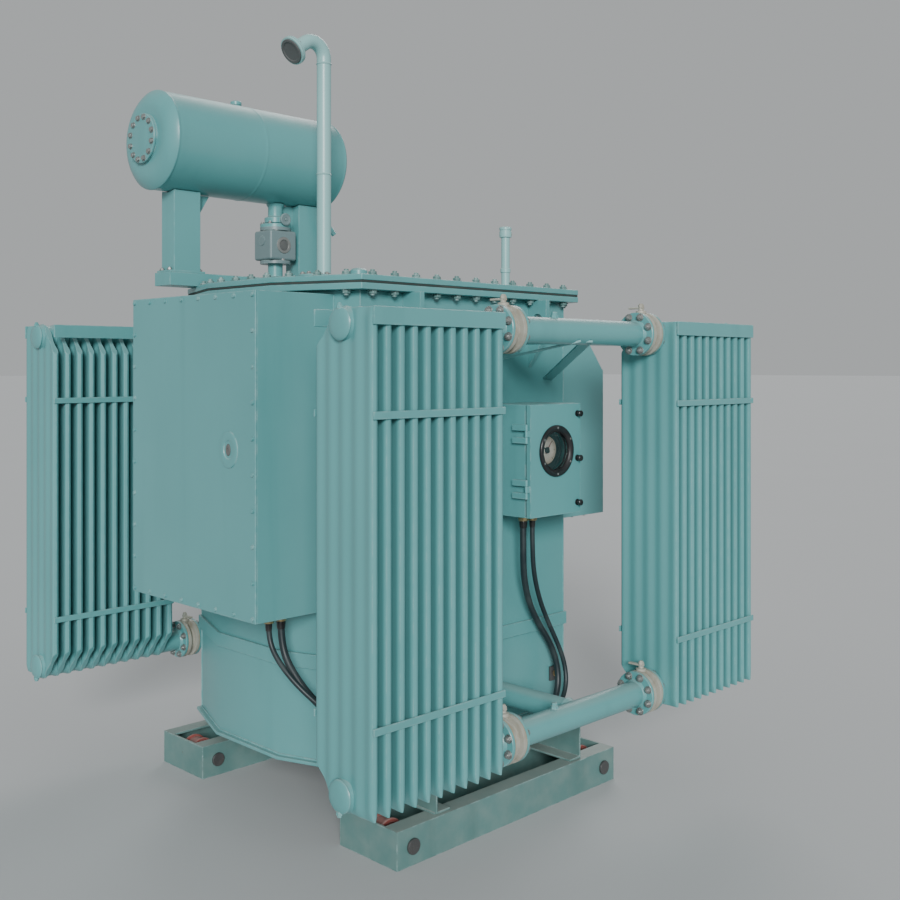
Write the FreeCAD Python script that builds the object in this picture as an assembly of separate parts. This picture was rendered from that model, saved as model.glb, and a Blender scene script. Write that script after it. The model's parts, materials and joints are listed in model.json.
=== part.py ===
"""Oil-filled power transformer on a rollered base, in millimetres.

The origin is on the floor at the centre of the base. X runs along the tank, towards the
high-voltage cable box. -Y is the front, with the marshalling box. Z is up.
"""
import FreeCAD, Part
import math
import os

from FreeCAD import Vector

# ---- base ----------------------------------------------------------------------------
CHANNEL_HEIGHT = 125
CHANNEL_FLANGE = 65
CHANNEL_WEB = 6
CHANNEL_FLANGE_THICK = 8
END_PLATE_THICK = 8
BEAM_HALF_LENGTH = 568
BEAM_OFFSET = 561
BEAM_WIDTH = 285
CROSS_HALF_LENGTH = 690
CROSS_OFFSET = 380

ROLLER_OFFSET = 500
ROLLER_TREAD_RADIUS = 49
ROLLER_FLANGE_RADIUS = 57
ROLLER_FLANGE_THICK = 10
ROLLER_WIDTH = 70
ROLLER_FLOOR_GAP = 6
AXLE_RADIUS = 15
AXLE_FIT = 0.05
AXLE_SHOULDER_RADIUS = 22
AXLE_SHOULDER_GAP = 2
AXLE_HEAD_RADIUS = 26
AXLE_HEAD_THICK = 10

# ---- tank ----------------------------------------------------------------------------
TANK_HALF_LENGTH = 640
TANK_HALF_WIDTH = 480
TANK_SIDE_FLAT = 531
TANK_END_FLAT = 184
TANK_WALL = 8
TANK_WALL_TOP = 1858
TANK_BOTTOM_THICK = 12
TANK_BOTTOM_OVERHANG = 18
RIM_OVERHANG = 50
RIM_THICK = 22
GASKET_THICK = 8
GASKET_INSET = 2
COVER_THICK = 20
BAND_HEIGHT = 50
BAND_THICK = 12
BAND_LEVELS = (600, 1330)
LUG_OFFSET = 330
LUG_THICK = 20
LUG_HEIGHT = 130
LUG_REACH = 90
LUG_HOLE_RADIUS = 25
LUG_HOLE_DROP = 78
LUG_ROOT = 260

# ---- cable boxes ---------------------------------------------------------------------
SHEET = 5
LV_BOX_REACH = 238
LV_BOX_HALF_WIDTH = 384
LV_BOX_LOW = 783
LV_BOX_HIGH = 1846
HV_BOX_REACH = 275
HV_BOX_HALF_WIDTH = 384
HV_BOX_LOW = 975
HV_BOX_HIGH = 1700
HV_BOX_SLOPE_RUN = 90
HV_BOX_SLOPE_DROP = 110
BOX_COVER_THICK = 6
GLAND_PLATE_THICK = 8
GLAND_PLATE_MARGIN = 45
CONTROL_STRIP = 150

# ---- marshalling box -----------------------------------------------------------------
CABINET_LEFT = 80
CABINET_RIGHT = 365
CABINET_LOW = 1057
CABINET_HIGH = 1465
CABINET_DEPTH = 195
CABINET_WALL = 4
DOOR_THICK = 20
DOOR_GAP = 5
WINDOW_RADIUS = 72
WINDOW_RING_RADIUS = 95
WINDOW_RING_PROUD = 10
WINDOW_RING_BACK = 6
WINDOW_GLASS_THICK = 5
WINDOW_RISE = 32
GAUGE_RADIUS = 78
GAUGE_DEPTH = 60
GAUGE_SETBACK = 14
GAUGE_ARM = 40
HINGE_OFFSET = 12
HINGE_RADIUS = 6
HINGE_PIN_RADIUS = 3.5
HINGE_PIN_FIT = 0.05
HINGE_KNUCKLE = 22
HINGE_KNUCKLE_GAP = 1
HINGE_MARGIN = 70
HINGE_ARM_REACH = 24
HINGE_PAD_REACH = 48
KNOB_RADIUS = 12
KNOB_PROUD = 22
KNOB_INSET = 20
KNOB_MARGIN = 38
CABINET_GLAND_RADIUS = 18
CABINET_GLAND_LENGTH = 30

# ---- radiators -----------------------------------------------------------------------
FIN_COUNT = 11
FIN_PITCH = 50
FIN_THICK = 24
FIN_WIDTH = 250
FIN_LOW = 375
FIN_HIGH = 1765
FIN_CHAMFER_RUN = 95
FIN_CHAMFER_RISE = 115
RADIATOR_INNER = 459
RADIATOR_AXIS = 939
PIPE_RADIUS = 44.5
PIPE_WALL = 4
STUB_RADIUS = 40
HEADER_EDGE = 0.5
HEADER_CAP_PROUD = 22
BRACES = ((620, 22), (1470, 22), (1740, 50))
BRACE_THICK = 6

# ---- valves and manifolds ------------------------------------------------------------
BRANCH_CENTRE = 45
VALVE_OFFSET = 372
VALVE_LENGTH = 56
VALVE_FLANGE_RADIUS = 78
VALVE_FLANGE_THICK = 15
VALVE_BODY_RADIUS = 58
VALVE_STEM_RADIUS = 9
VALVE_STEM_LENGTH = 34
PIPE_FLANGE_THICK = 12
STUB_PAD_RADIUS = 80
STUB_PAD_THICK = 12
STRUT_WIDTH = 40
STRUT_THICK = 8
STRUT_SPREAD = 390
STRUT_FOOT_LEVEL = 1550

# ---- conservator ---------------------------------------------------------------------
CONSERVATOR_LEFT = -785
CONSERVATOR_RIGHT = 0
CONSERVATOR_RADIUS = 186
CONSERVATOR_WALL = 4
CONSERVATOR_LEVEL = 2450
CONSERVATOR_AXIS = 416
END_DISH = 32
END_CROWN_RADIUS = 119.6
END_COVER_RADIUS = 92
END_COVER_THICK = 18
FILLER_X = -416
FILLER_RADIUS = 24
FILLER_HEIGHT = 26
LEG_X = (-664, -82)
LEG_LENGTH = 115
LEG_DEPTH = 90
LEG_WALL = 6
RAIL_LEFT = -745
RAIL_RIGHT = -10
RAIL_HEIGHT = 50
RAIL_WIDTH = 110
RELAY_X = -225
RELAY_LOW = 2035
RELAY_HEIGHT = 120
RELAY_LENGTH = 130
RELAY_DEPTH = 120
RELAY_FLANGE_RADIUS = 62
RELAY_FLANGE_THICK = 14
RELAY_PIPE_RADIUS = 30
FEED_VALVE_RADIUS = 44

# ---- cover fittings ------------------------------------------------------------------
VENT_X = -303
VENT_RADIUS = 27
VENT_BEND_RADIUS = 55
VENT_TOP = 2820
VENT_DROP_ANGLE = 35
VENT_SPOUT = 62
VENT_MOUTH_RADIUS = 54
VENT_MOUTH_THICK = 16
DIAPHRAGM_THICK = 6
FOOT_FLANGE_RADIUS = 62
FOOT_FLANGE_THICK = 14
POCKET_X = 552
POCKET_Y = -150
POCKET_RADIUS = 18
POCKET_FLANGE_RADIUS = 36
POCKET_HEIGHT = 240
POCKET_CAP_RADIUS = 26
POCKET_CAP_HEIGHT = 44
HOOD_X = -190
HOOD_Y = -70
HOOD_RADIUS = 34
HOOD_FLANGE_RADIUS = 51
HOOD_HEIGHT = 70

# ---- drain valve ---------------------------------------------------------------------
DRAIN_LEVEL = 345
DRAIN_PIPE_RADIUS = 28
DRAIN_REACH = 60
DRAIN_BODY_RADIUS = 42
DRAIN_BODY_LENGTH = 90
DRAIN_FLANGE_RADIUS = 66
DRAIN_FLANGE_THICK = 14
DRAIN_BONNET_RADIUS = 20
DRAIN_BONNET_HEIGHT = 90
HANDWHEEL_RADIUS = 50
HANDWHEEL_THICK = 12

# ---- control cables ------------------------------------------------------------------
CABLES = {
    "control_cable_large": (12, (
        (165, -590, 1027), (165, -590, 935), (190, -570, 815), (252, -545, 700), (330, -530, 605),
        (398, -524, 528), (432, -528, 452), (434, -538, 376), (397, -552, 313), (334, -562, 276),
        (250, -568, 262), (130, -568, 248), (-20, -562, 238), (-180, -554, 250),
        (-330, -545, 286), (-462, -532, 338), (-582, -500, 404), (-664, -430, 486),
        (-706, -356, 576), (-722, -300, 668), (-722, -300, 753))),
    "control_cable_small": (9, (
        (205, -600, 1027), (205, -600, 945), (228, -586, 835), (284, -566, 722),
        (350, -554, 622), (408, -550, 536), (445, -556, 456), (444, -570, 380),
        (402, -586, 320), (330, -598, 288), (236, -602, 270), (110, -600, 258),
        (-40, -593, 254), (-180, -584, 272), (-310, -574, 304), (-440, -566, 346),
        (-570, -546, 404), (-670, -492, 476), (-736, -416, 560), (-766, -346, 635),
        (-772, -300, 700), (-772, -300, 753))),
}
CABLE_TANGENT_SHARE = 0.45
BOX_GLAND_RADIUS = 18
BOX_GLAND_LENGTH = 30

# ---- worked-out places ---------------------------------------------------------------
CROSS_TOP = 2 * CHANNEL_HEIGHT
TANK_LOW = CROSS_TOP + TANK_BOTTOM_THICK
RIM_TOP = TANK_WALL_TOP + RIM_THICK
COVER_LOW = RIM_TOP + GASKET_THICK
COVER_TOP = COVER_LOW + COVER_THICK
CABINET_FRONT = -TANK_HALF_WIDTH - CABINET_DEPTH
DOOR_BACK = CABINET_FRONT - DOOR_GAP
DOOR_FRONT = DOOR_BACK - DOOR_THICK
WINDOW_X = (CABINET_LEFT + CABINET_RIGHT) / 2
WINDOW_Z = (CABINET_LOW + CABINET_HIGH) / 2 + WINDOW_RISE
HINGE_X = CABINET_LEFT - HINGE_OFFSET
HINGE_Y = (DOOR_FRONT + DOOR_BACK) / 2
RADIATOR_OUTER = RADIATOR_INNER + (FIN_COUNT - 1) * FIN_PITCH + FIN_THICK
HEADER_INSET = PIPE_RADIUS + HEADER_EDGE
HEADER_LEVELS = (FIN_LOW + HEADER_INSET, FIN_HIGH - HEADER_INSET)
ROLLER_LEVEL = ROLLER_FLOOR_GAP + ROLLER_FLANGE_RADIUS
SIDES = (("left", -1), ("right", 1))
FACES = (("front", -1), ("rear", 1))
X_AXIS = Vector(1, 0, 0)
Y_AXIS = Vector(0, 1, 0)
Z_AXIS = Vector(0, 0, 1)


# ---- shape helpers -------------------------------------------------------------------
def box(x, y, z):
    """Box between the (low, high) pairs x, y and z."""
    low = Vector(min(x), min(y), min(z))
    return Part.makeBox(abs(x[1] - x[0]), abs(y[1] - y[0]), abs(z[1] - z[0]), low)


def rod(start, axis, radius, length):
    """Cylinder from start along axis."""
    return Part.makeCylinder(radius, length, Vector(*start), axis)


def tube(start, axis, radius, wall, length):
    """Pipe from start along axis, with the given outer radius and wall."""
    return rod(start, axis, radius, length).cut(rod(start, axis, radius - wall, length))


def prism(outline, direction):
    """Solid swept from a closed outline of 3-D points along direction."""
    points = [Vector(*point) for point in outline]
    face = Part.Face(Part.makePolygon(points + points[:1]))
    return face.extrude(Vector(*direction))


def fuse(*shapes):
    """Union of the shapes with its seams removed."""
    return shapes[0].multiFuse(list(shapes[1:])).removeSplitter()


def octagon(grow, low, high):
    """Solid on the tank's plan, grown by grow, between two levels."""
    run = TANK_HALF_LENGTH - TANK_SIDE_FLAT
    rise = TANK_HALF_WIDTH - TANK_END_FLAT
    slant = math.hypot(run, rise)
    across, along = rise / slant, run / slant
    reach = across * TANK_SIDE_FLAT + along * TANK_HALF_WIDTH + grow
    long_x = (reach - along * (TANK_HALF_WIDTH + grow)) / across
    short_y = (reach - across * (TANK_HALF_LENGTH + grow)) / along
    quarter = [(TANK_HALF_LENGTH + grow, short_y), (long_x, TANK_HALF_WIDTH + grow)]
    outline = quarter + [(-x, y) for x, y in reversed(quarter)]
    outline += [(-x, -y) for x, y in outline]
    return prism([(x, y, low) for x, y in outline], (0, 0, high - low))


def octagon_ring(outer, inner, low, high):
    """Ring on the tank's plan between two growths and two levels."""
    return octagon(outer, low, high).cut(octagon(inner, low, high))


def channel(length_axis, half_length, web_at, flange_way, low):
    """Rolled channel lying along X or Y, its web at web_at and its flanges towards flange_way."""
    web = (web_at, web_at + flange_way * CHANNEL_WEB)
    flange = (web_at, web_at + flange_way * CHANNEL_FLANGE)
    run = (-half_length, half_length)
    high = low + CHANNEL_HEIGHT
    levels = ((low, high), (low, low + CHANNEL_FLANGE_THICK), (high - CHANNEL_FLANGE_THICK, high))
    pieces = []
    for across, level in zip((web, flange, flange), levels):
        if length_axis == "x":
            pieces.append(box(run, across, level))
        else:
            pieces.append(box(across, run, level))
    return fuse(*pieces)


def bent_tube(route, radius):
    """Tube along straight runs joined by tangent arcs, and the arcs' smallest radius."""
    points = [Vector(*point) for point in route]
    edges = []
    start = points[0]
    smallest = math.inf
    for before, corner, after in zip(points, points[1:], points[2:]):
        incoming = (corner - before).normalize()
        outgoing = (after - corner).normalize()
        turn = incoming.getAngle(outgoing)
        shorter = min((corner - before).Length, (after - corner).Length)
        tangent = CABLE_TANGENT_SHARE * shorter
        bend = tangent / math.tan(turn / 2)
        first = corner - incoming * tangent
        last = corner + outgoing * tangent
        towards = (outgoing - incoming).normalize()
        middle = corner + towards * (bend / math.cos(turn / 2) - bend)
        edges.append(Part.makeLine(start, first))
        edges.append(Part.Arc(first, middle, last).toShape())
        start = last
        smallest = min(smallest, bend)
    edges.append(Part.makeLine(start, points[-1]))
    wire = Part.Wire(edges)
    ring = Part.Wire([Part.makeCircle(radius, points[0], points[1] - points[0])])
    solid = wire.makePipeShell([ring], True, False)
    section = math.pi * radius ** 2
    ratio = solid.Volume / section / wire.Length
    print(f"cable r{radius}: {wire.Length:.0f} long, least bend {smallest:.0f}, ratio {ratio:.4f}")
    return solid


# ---- base ----------------------------------------------------------------------------
def base_parts():
    """Beams, cross channels, axles and rollers."""
    parts = {}
    axles = []
    for face, way in FACES:
        webs = (way * (BEAM_OFFSET + BEAM_WIDTH / 2), way * (BEAM_OFFSET - BEAM_WIDTH / 2))
        beams = [channel("x", BEAM_HALF_LENGTH, webs[0], -way, 0),
                 channel("x", BEAM_HALF_LENGTH, webs[1], way, 0)]
        for side, turn in SIDES:
            centre = (turn * ROLLER_OFFSET, way * BEAM_OFFSET, ROLLER_LEVEL)
            hole = rod((centre[0], way * BEAM_OFFSET - BEAM_WIDTH, ROLLER_LEVEL), Y_AXIS,
                       AXLE_RADIUS, 2 * BEAM_WIDTH)
            beams = [beam.cut(hole) for beam in beams]
            axles.append(axle(centre))
            parts[f"{face}_{side}_roller"] = roller(centre)
            end = turn * BEAM_HALF_LENGTH
            beams.append(box((end, end - turn * END_PLATE_THICK), webs, (0, CHANNEL_HEIGHT)))
        parts[f"{face}_base_channels"] = fuse(*beams)
    parts["roller_axles"] = Part.makeCompound(axles)
    parts["cross_channels"] = Part.makeCompound([
        channel("y", CROSS_HALF_LENGTH, turn * CROSS_OFFSET, -turn, CHANNEL_HEIGHT)
        for side, turn in SIDES])
    return parts


def axle(centre):
    """Pin through both webs, with a head outside each and a shoulder beside the roller."""
    half = BEAM_WIDTH / 2
    pieces = [rod((centre[0], centre[1] - half, centre[2]), Y_AXIS, AXLE_RADIUS, BEAM_WIDTH)]
    shoulder = half - CHANNEL_WEB - ROLLER_WIDTH / 2 - AXLE_SHOULDER_GAP
    for way in (-1, 1):
        direction = Y_AXIS * way
        pieces.append(rod((centre[0], centre[1] + way * half, centre[2]), direction,
                          AXLE_HEAD_RADIUS, AXLE_HEAD_THICK))
        pieces.append(rod((centre[0], centre[1] + way * (half - CHANNEL_WEB), centre[2]),
                          direction * -1, AXLE_SHOULDER_RADIUS, shoulder))
    return fuse(*pieces)


def roller(centre):
    """Flanged roller, free on its axle."""
    start = (centre[0], centre[1] - ROLLER_WIDTH / 2, centre[2])
    far = (centre[0], centre[1] + ROLLER_WIDTH / 2, centre[2])
    body = fuse(rod(start, Y_AXIS, ROLLER_TREAD_RADIUS, ROLLER_WIDTH),
                rod(start, Y_AXIS, ROLLER_FLANGE_RADIUS, ROLLER_FLANGE_THICK),
                rod(far, Y_AXIS * -1, ROLLER_FLANGE_RADIUS, ROLLER_FLANGE_THICK))
    return body.cut(rod(start, Y_AXIS, AXLE_RADIUS + AXLE_FIT, ROLLER_WIDTH))


# ---- tank ----------------------------------------------------------------------------
def tank_parts():
    """Octagonal tank with its bottom, rim, gasket, cover, bands and lifting lugs."""
    bands = []
    for level in BAND_LEVELS:
        ring = octagon_ring(BAND_THICK, 0, level - BAND_HEIGHT / 2, level + BAND_HEIGHT / 2)
        bands += trim_band(ring, level).Solids
    return {
        "tank_bottom": octagon(TANK_BOTTOM_OVERHANG, CROSS_TOP, TANK_LOW),
        "tank_wall": octagon_ring(0, -TANK_WALL, TANK_LOW, TANK_WALL_TOP),
        "tank_rim": octagon_ring(RIM_OVERHANG, -TANK_WALL, TANK_WALL_TOP, RIM_TOP),
        "cover_gasket": octagon_ring(RIM_OVERHANG - GASKET_INSET, -TANK_WALL, RIM_TOP, COVER_LOW),
        "tank_cover": octagon(RIM_OVERHANG, COVER_LOW, COVER_TOP),
        "tank_bands": Part.makeCompound(bands),
        "lifting_lugs": Part.makeCompound([lifting_lug(turn, way)
                                           for side, turn in SIDES for face, way in FACES]),
    }


def trim_band(ring, level):
    """The band with the cable boxes and the marshalling box taken out of its way."""
    low, high = level - BAND_HEIGHT, level + BAND_HEIGHT
    reach = TANK_HALF_LENGTH + LV_BOX_REACH + HV_BOX_REACH
    clear = ring
    if LV_BOX_LOW < high and low < LV_BOX_HIGH:
        clear = clear.cut(box((-reach, 0), (-LV_BOX_HALF_WIDTH, LV_BOX_HALF_WIDTH), (low, high)))
    if HV_BOX_LOW < high and low < HV_BOX_HIGH:
        clear = clear.cut(box((0, reach), (-HV_BOX_HALF_WIDTH, HV_BOX_HALF_WIDTH), (low, high)))
    if CABINET_LOW < high and low < CABINET_HIGH:
        clear = clear.cut(box((CABINET_LEFT, CABINET_RIGHT), (CABINET_FRONT, 0), (low, high)))
    return clear


def lifting_lug(turn, way):
    """Ear under the rim on a long wall, with its eye."""
    wall = way * TANK_HALF_WIDTH
    tip = way * (TANK_HALF_WIDTH + LUG_REACH)
    top = TANK_WALL_TOP
    left = turn * LUG_OFFSET - LUG_THICK / 2
    outline = [(left, wall, top - LUG_ROOT), (left, tip, top - LUG_HEIGHT),
               (left, tip, top), (left, wall, top)]
    eye = (left, way * (TANK_HALF_WIDTH + LUG_REACH / 2), top - LUG_HOLE_DROP)
    return prism(outline, (LUG_THICK, 0, 0)).cut(rod(eye, X_AXIS, LUG_HOLE_RADIUS, LUG_THICK))


# ---- cable boxes ---------------------------------------------------------------------
def cable_box(name, turn, reach, half_width, low, high, slope_run, slope_drop, strip):
    """Sheet box on a tank end, with its bolted cover and the gland plate beneath.

    strip is how much of the underside stays clear of the plate at the front.
    """
    end = turn * (TANK_HALF_LENGTH + reach)
    start = turn * TANK_SIDE_FLAT
    tank = octagon(0, TANK_LOW, TANK_WALL_TOP)

    def profile(inset, y_low, y_high):
        """Side outline of the box, inset on its top and bottom."""
        top, bottom = high - inset, low + inset
        outline = [(start, y_low, bottom), (end, y_low, bottom)]
        if slope_run:
            outline += [(end, y_low, top - slope_drop),
                        (end - turn * slope_run, y_low, top)]
        else:
            outline += [(end, y_low, top)]
        outline += [(start, y_low, top)]
        return prism(outline, (0, y_high - y_low, 0))

    shell = profile(0, -half_width, half_width)
    shell = shell.cut(profile(SHEET, -half_width + SHEET, half_width - SHEET)).cut(tank)
    shell = max(shell.Solids, key=lambda solid: solid.Volume)
    cover_top = high - slope_drop
    cover = box((end, end + turn * BOX_COVER_THICK), (-half_width, half_width), (low, cover_top))
    plate_x = (turn * (TANK_HALF_LENGTH + GLAND_PLATE_MARGIN), end - turn * GLAND_PLATE_MARGIN)
    plate_y = (-half_width + GLAND_PLATE_MARGIN + strip, half_width - GLAND_PLATE_MARGIN)
    plate = box(plate_x, plate_y, (low - GLAND_PLATE_THICK, low))
    return {f"{name}_cable_box": shell, f"{name}_box_cover": cover, f"{name}_gland_plate": plate}


# ---- marshalling box -----------------------------------------------------------------
def cabinet_parts():
    """Marshalling box with its hinged door, window, gauge and knobs."""
    x, z = (CABINET_LEFT, CABINET_RIGHT), (CABINET_LOW, CABINET_HIGH)
    back = -TANK_HALF_WIDTH
    shell = box(x, (CABINET_FRONT, back), z).cut(
        box((x[0] + CABINET_WALL, x[1] - CABINET_WALL), (CABINET_FRONT, back - CABINET_WALL),
            (z[0] + CABINET_WALL, z[1] - CABINET_WALL)))
    door = box(x, (DOOR_FRONT, DOOR_BACK), z)
    window_at = (WINDOW_X, DOOR_BACK, WINDOW_Z)
    outwards = Y_AXIS * -1
    door = door.cut(rod(window_at, outwards, WINDOW_RADIUS, DOOR_THICK))
    glass_at = (WINDOW_X, DOOR_BACK - DOOR_THICK / 2, WINDOW_Z)
    gauge_face = CABINET_FRONT + GAUGE_SETBACK
    gauge = rod((WINDOW_X, gauge_face, WINDOW_Z), Y_AXIS, GAUGE_RADIUS, GAUGE_DEPTH)
    arm = box((WINDOW_X - GAUGE_ARM / 2, WINDOW_X + GAUGE_ARM / 2),
              (gauge_face + GAUGE_DEPTH, back - CABINET_WALL),
              (WINDOW_Z - GAUGE_ARM / 2, WINDOW_Z + GAUGE_ARM / 2))
    fixed, moving = hinge_pieces()
    knobs = [rod((CABINET_RIGHT - KNOB_INSET, DOOR_FRONT, level), outwards, KNOB_RADIUS, KNOB_PROUD)
             for level in (CABINET_LOW + KNOB_MARGIN, (CABINET_LOW + CABINET_HIGH) / 2,
                           CABINET_HIGH - KNOB_MARGIN)]
    return {
        "marshalling_box": shell,
        "marshalling_door": fuse(door, *moving),
        "door_hinges": Part.makeCompound(fixed),
        "door_window_ring": tube((WINDOW_X, DOOR_FRONT, WINDOW_Z), outwards, WINDOW_RING_RADIUS,
                                 WINDOW_RING_RADIUS - WINDOW_RADIUS, WINDOW_RING_PROUD),
        "door_window_glass": rod(glass_at, outwards, WINDOW_RADIUS, WINDOW_GLASS_THICK),
        "door_knobs": Part.makeCompound(knobs),
        "temperature_gauge": fuse(gauge, arm),
    }


def hinge_pieces():
    """Fixed knuckles with their pin, and the knuckles that move with the door."""
    fixed, moving = [], []
    step = HINGE_KNUCKLE + HINGE_KNUCKLE_GAP
    for base in (CABINET_LOW + HINGE_MARGIN, CABINET_HIGH - HINGE_MARGIN - 3 * step):
        def knuckle(level):
            """One knuckle at a level."""
            return rod((HINGE_X, HINGE_Y, level), Z_AXIS, HINGE_RADIUS, HINGE_KNUCKLE)

        pin = rod((HINGE_X, HINGE_Y, base), Z_AXIS, HINGE_PIN_RADIUS, 3 * step - HINGE_KNUCKLE_GAP)
        pieces = [pin]
        for level in (base, base + 2 * step):
            levels = (level, level + HINGE_KNUCKLE)
            arm = box((HINGE_X - HINGE_RADIUS, HINGE_X + HINGE_RADIUS / 2),
                      (HINGE_Y, CABINET_FRONT + HINGE_ARM_REACH), levels)
            pad = box((HINGE_X - HINGE_RADIUS, CABINET_LEFT),
                      (CABINET_FRONT + HINGE_RADIUS, CABINET_FRONT + HINGE_PAD_REACH), levels)
            pieces += [knuckle(level), arm, pad]
        fixed.append(fuse(*pieces))
        levels = (base + step, base + step + HINGE_KNUCKLE)
        leaf = box((HINGE_X, CABINET_LEFT + HINGE_OFFSET),
                   (HINGE_Y - HINGE_RADIUS, HINGE_Y + HINGE_RADIUS), levels)
        bore = rod((HINGE_X, HINGE_Y, levels[0]), Z_AXIS, HINGE_PIN_RADIUS + HINGE_PIN_FIT,
                   HINGE_KNUCKLE)
        moving.append(fuse(knuckle(levels[0]), leaf).cut(bore))
    return fixed, moving


# ---- radiators -----------------------------------------------------------------------
def radiator_parts():
    """Four fin banks with their headers, and the braces across all of them."""
    parts = {}
    braces = []
    for face, way in FACES:
        for side, turn in SIDES:
            parts[f"{face}_{side}_radiator_fins"] = Part.makeCompound(
                [fin(turn, way, index) for index in range(FIN_COUNT)])
            parts[f"{face}_{side}_headers"] = Part.makeCompound(
                [header(turn, way, level) for level in HEADER_LEVELS])
            braces += brace_bars(turn, way)
    parts["radiator_braces"] = Part.makeCompound(braces)
    return parts


def fin(turn, way, index):
    """One pressed panel, with its tank-side corners cut and bored for the headers."""
    inner = RADIATOR_AXIS - FIN_WIDTH / 2
    outer = RADIATOR_AXIS + FIN_WIDTH / 2
    outline = [(outer, FIN_LOW), (outer, FIN_HIGH),
               (inner + FIN_CHAMFER_RUN, FIN_HIGH), (inner, FIN_HIGH - FIN_CHAMFER_RISE),
               (inner, FIN_LOW + FIN_CHAMFER_RISE), (inner + FIN_CHAMFER_RUN, FIN_LOW)]
    start = turn * (RADIATOR_INNER + index * FIN_PITCH)
    panel = prism([(start, way * y, z) for y, z in outline], (turn * FIN_THICK, 0, 0))
    for level in HEADER_LEVELS:
        panel = panel.cut(rod((start, way * RADIATOR_AXIS, level), X_AXIS * turn,
                              PIPE_RADIUS, FIN_THICK))
    return panel


def header(turn, way, level):
    """Pipe from the valve through every fin, closed by its end cap."""
    valve_end = BRANCH_CENTRE + turn * (VALVE_OFFSET + VALVE_LENGTH / 2)
    start = (valve_end, way * RADIATOR_AXIS, level)
    end_x = turn * (RADIATOR_OUTER + HEADER_CAP_PROUD)
    length = abs(end_x - valve_end)
    direction = X_AXIS * turn
    pipe = rod(start, direction, PIPE_RADIUS, length)
    bore = rod(start, direction, PIPE_RADIUS - PIPE_WALL, length - PIPE_WALL)
    flange = rod(start, direction, VALVE_FLANGE_RADIUS, PIPE_FLANGE_THICK)
    return fuse(pipe, flange).cut(bore)


def brace_bars(turn, way):
    """Flat bars across the fin edges, outside and inside: two braces and the top band."""
    run = (turn * RADIATOR_INNER, turn * RADIATOR_OUTER)
    bars = []
    for level, height in BRACES:
        for edge, out in ((FIN_WIDTH / 2, 1), (-FIN_WIDTH / 2, -1)):
            near = way * (RADIATOR_AXIS + edge)
            far = way * (RADIATOR_AXIS + edge + out * BRACE_THICK)
            bars.append(box(run, (near, far), (level - height / 2, level + height / 2)))
    return bars


# ---- valves and manifolds ------------------------------------------------------------
def manifold_parts():
    """T-shaped manifolds at two levels on both long walls, their valves and struts."""
    parts = {}
    struts = []
    for face, way in FACES:
        parts[f"{face}_manifolds"] = Part.makeCompound(
            [piece for level in HEADER_LEVELS for piece in manifold(way, level)])
        parts[f"{face}_valves"] = Part.makeCompound([valve(turn, way, level)
                                                     for side, turn in SIDES
                                                     for level in HEADER_LEVELS])
        struts += [strut(turn, way) for side, turn in SIDES]
    parts["manifold_struts"] = Part.makeCompound(struts)
    return parts


def manifold(way, level):
    """Branch along X between two valves, and the stub that joins it to the tank wall."""
    reach = VALVE_OFFSET - VALVE_LENGTH / 2
    left = (BRANCH_CENTRE - reach, way * RADIATOR_AXIS, level)
    right = (BRANCH_CENTRE + reach, way * RADIATOR_AXIS, level)
    wall_at = (BRANCH_CENTRE, way * TANK_HALF_WIDTH, level)
    outwards = Y_AXIS * way
    stub_length = RADIATOR_AXIS - TANK_HALF_WIDTH
    branch = fuse(rod(left, X_AXIS, PIPE_RADIUS, 2 * reach),
                  rod(left, X_AXIS, VALVE_FLANGE_RADIUS, PIPE_FLANGE_THICK),
                  rod(right, X_AXIS * -1, VALVE_FLANGE_RADIUS, PIPE_FLANGE_THICK))
    stub = fuse(rod(wall_at, outwards, STUB_RADIUS, stub_length),
                rod(wall_at, outwards, STUB_PAD_RADIUS, STUB_PAD_THICK))
    stub = stub.cut(rod(left, X_AXIS, PIPE_RADIUS, 2 * reach))
    branch_bore = rod(left, X_AXIS, PIPE_RADIUS - PIPE_WALL, 2 * reach)
    stub_bore = rod(wall_at, outwards, STUB_RADIUS - PIPE_WALL, stub_length)
    return [branch.cut(fuse(branch_bore, stub_bore)), stub.cut(stub_bore)]


def valve(turn, way, level):
    """Butterfly valve between a header and a branch, with its stem on top."""
    start = (BRANCH_CENTRE + turn * (VALVE_OFFSET - VALVE_LENGTH / 2), way * RADIATOR_AXIS, level)
    end = (BRANCH_CENTRE + turn * (VALVE_OFFSET + VALVE_LENGTH / 2), way * RADIATOR_AXIS, level)
    middle = (BRANCH_CENTRE + turn * VALVE_OFFSET, way * RADIATOR_AXIS, level)
    direction = X_AXIS * turn
    return fuse(rod(start, direction, VALVE_BODY_RADIUS, VALVE_LENGTH),
                rod(start, direction, VALVE_FLANGE_RADIUS, VALVE_FLANGE_THICK),
                rod(end, direction * -1, VALVE_FLANGE_RADIUS, VALVE_FLANGE_THICK),
                rod(middle, Z_AXIS, VALVE_STEM_RADIUS, VALVE_FLANGE_RADIUS + VALVE_STEM_LENGTH))


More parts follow.
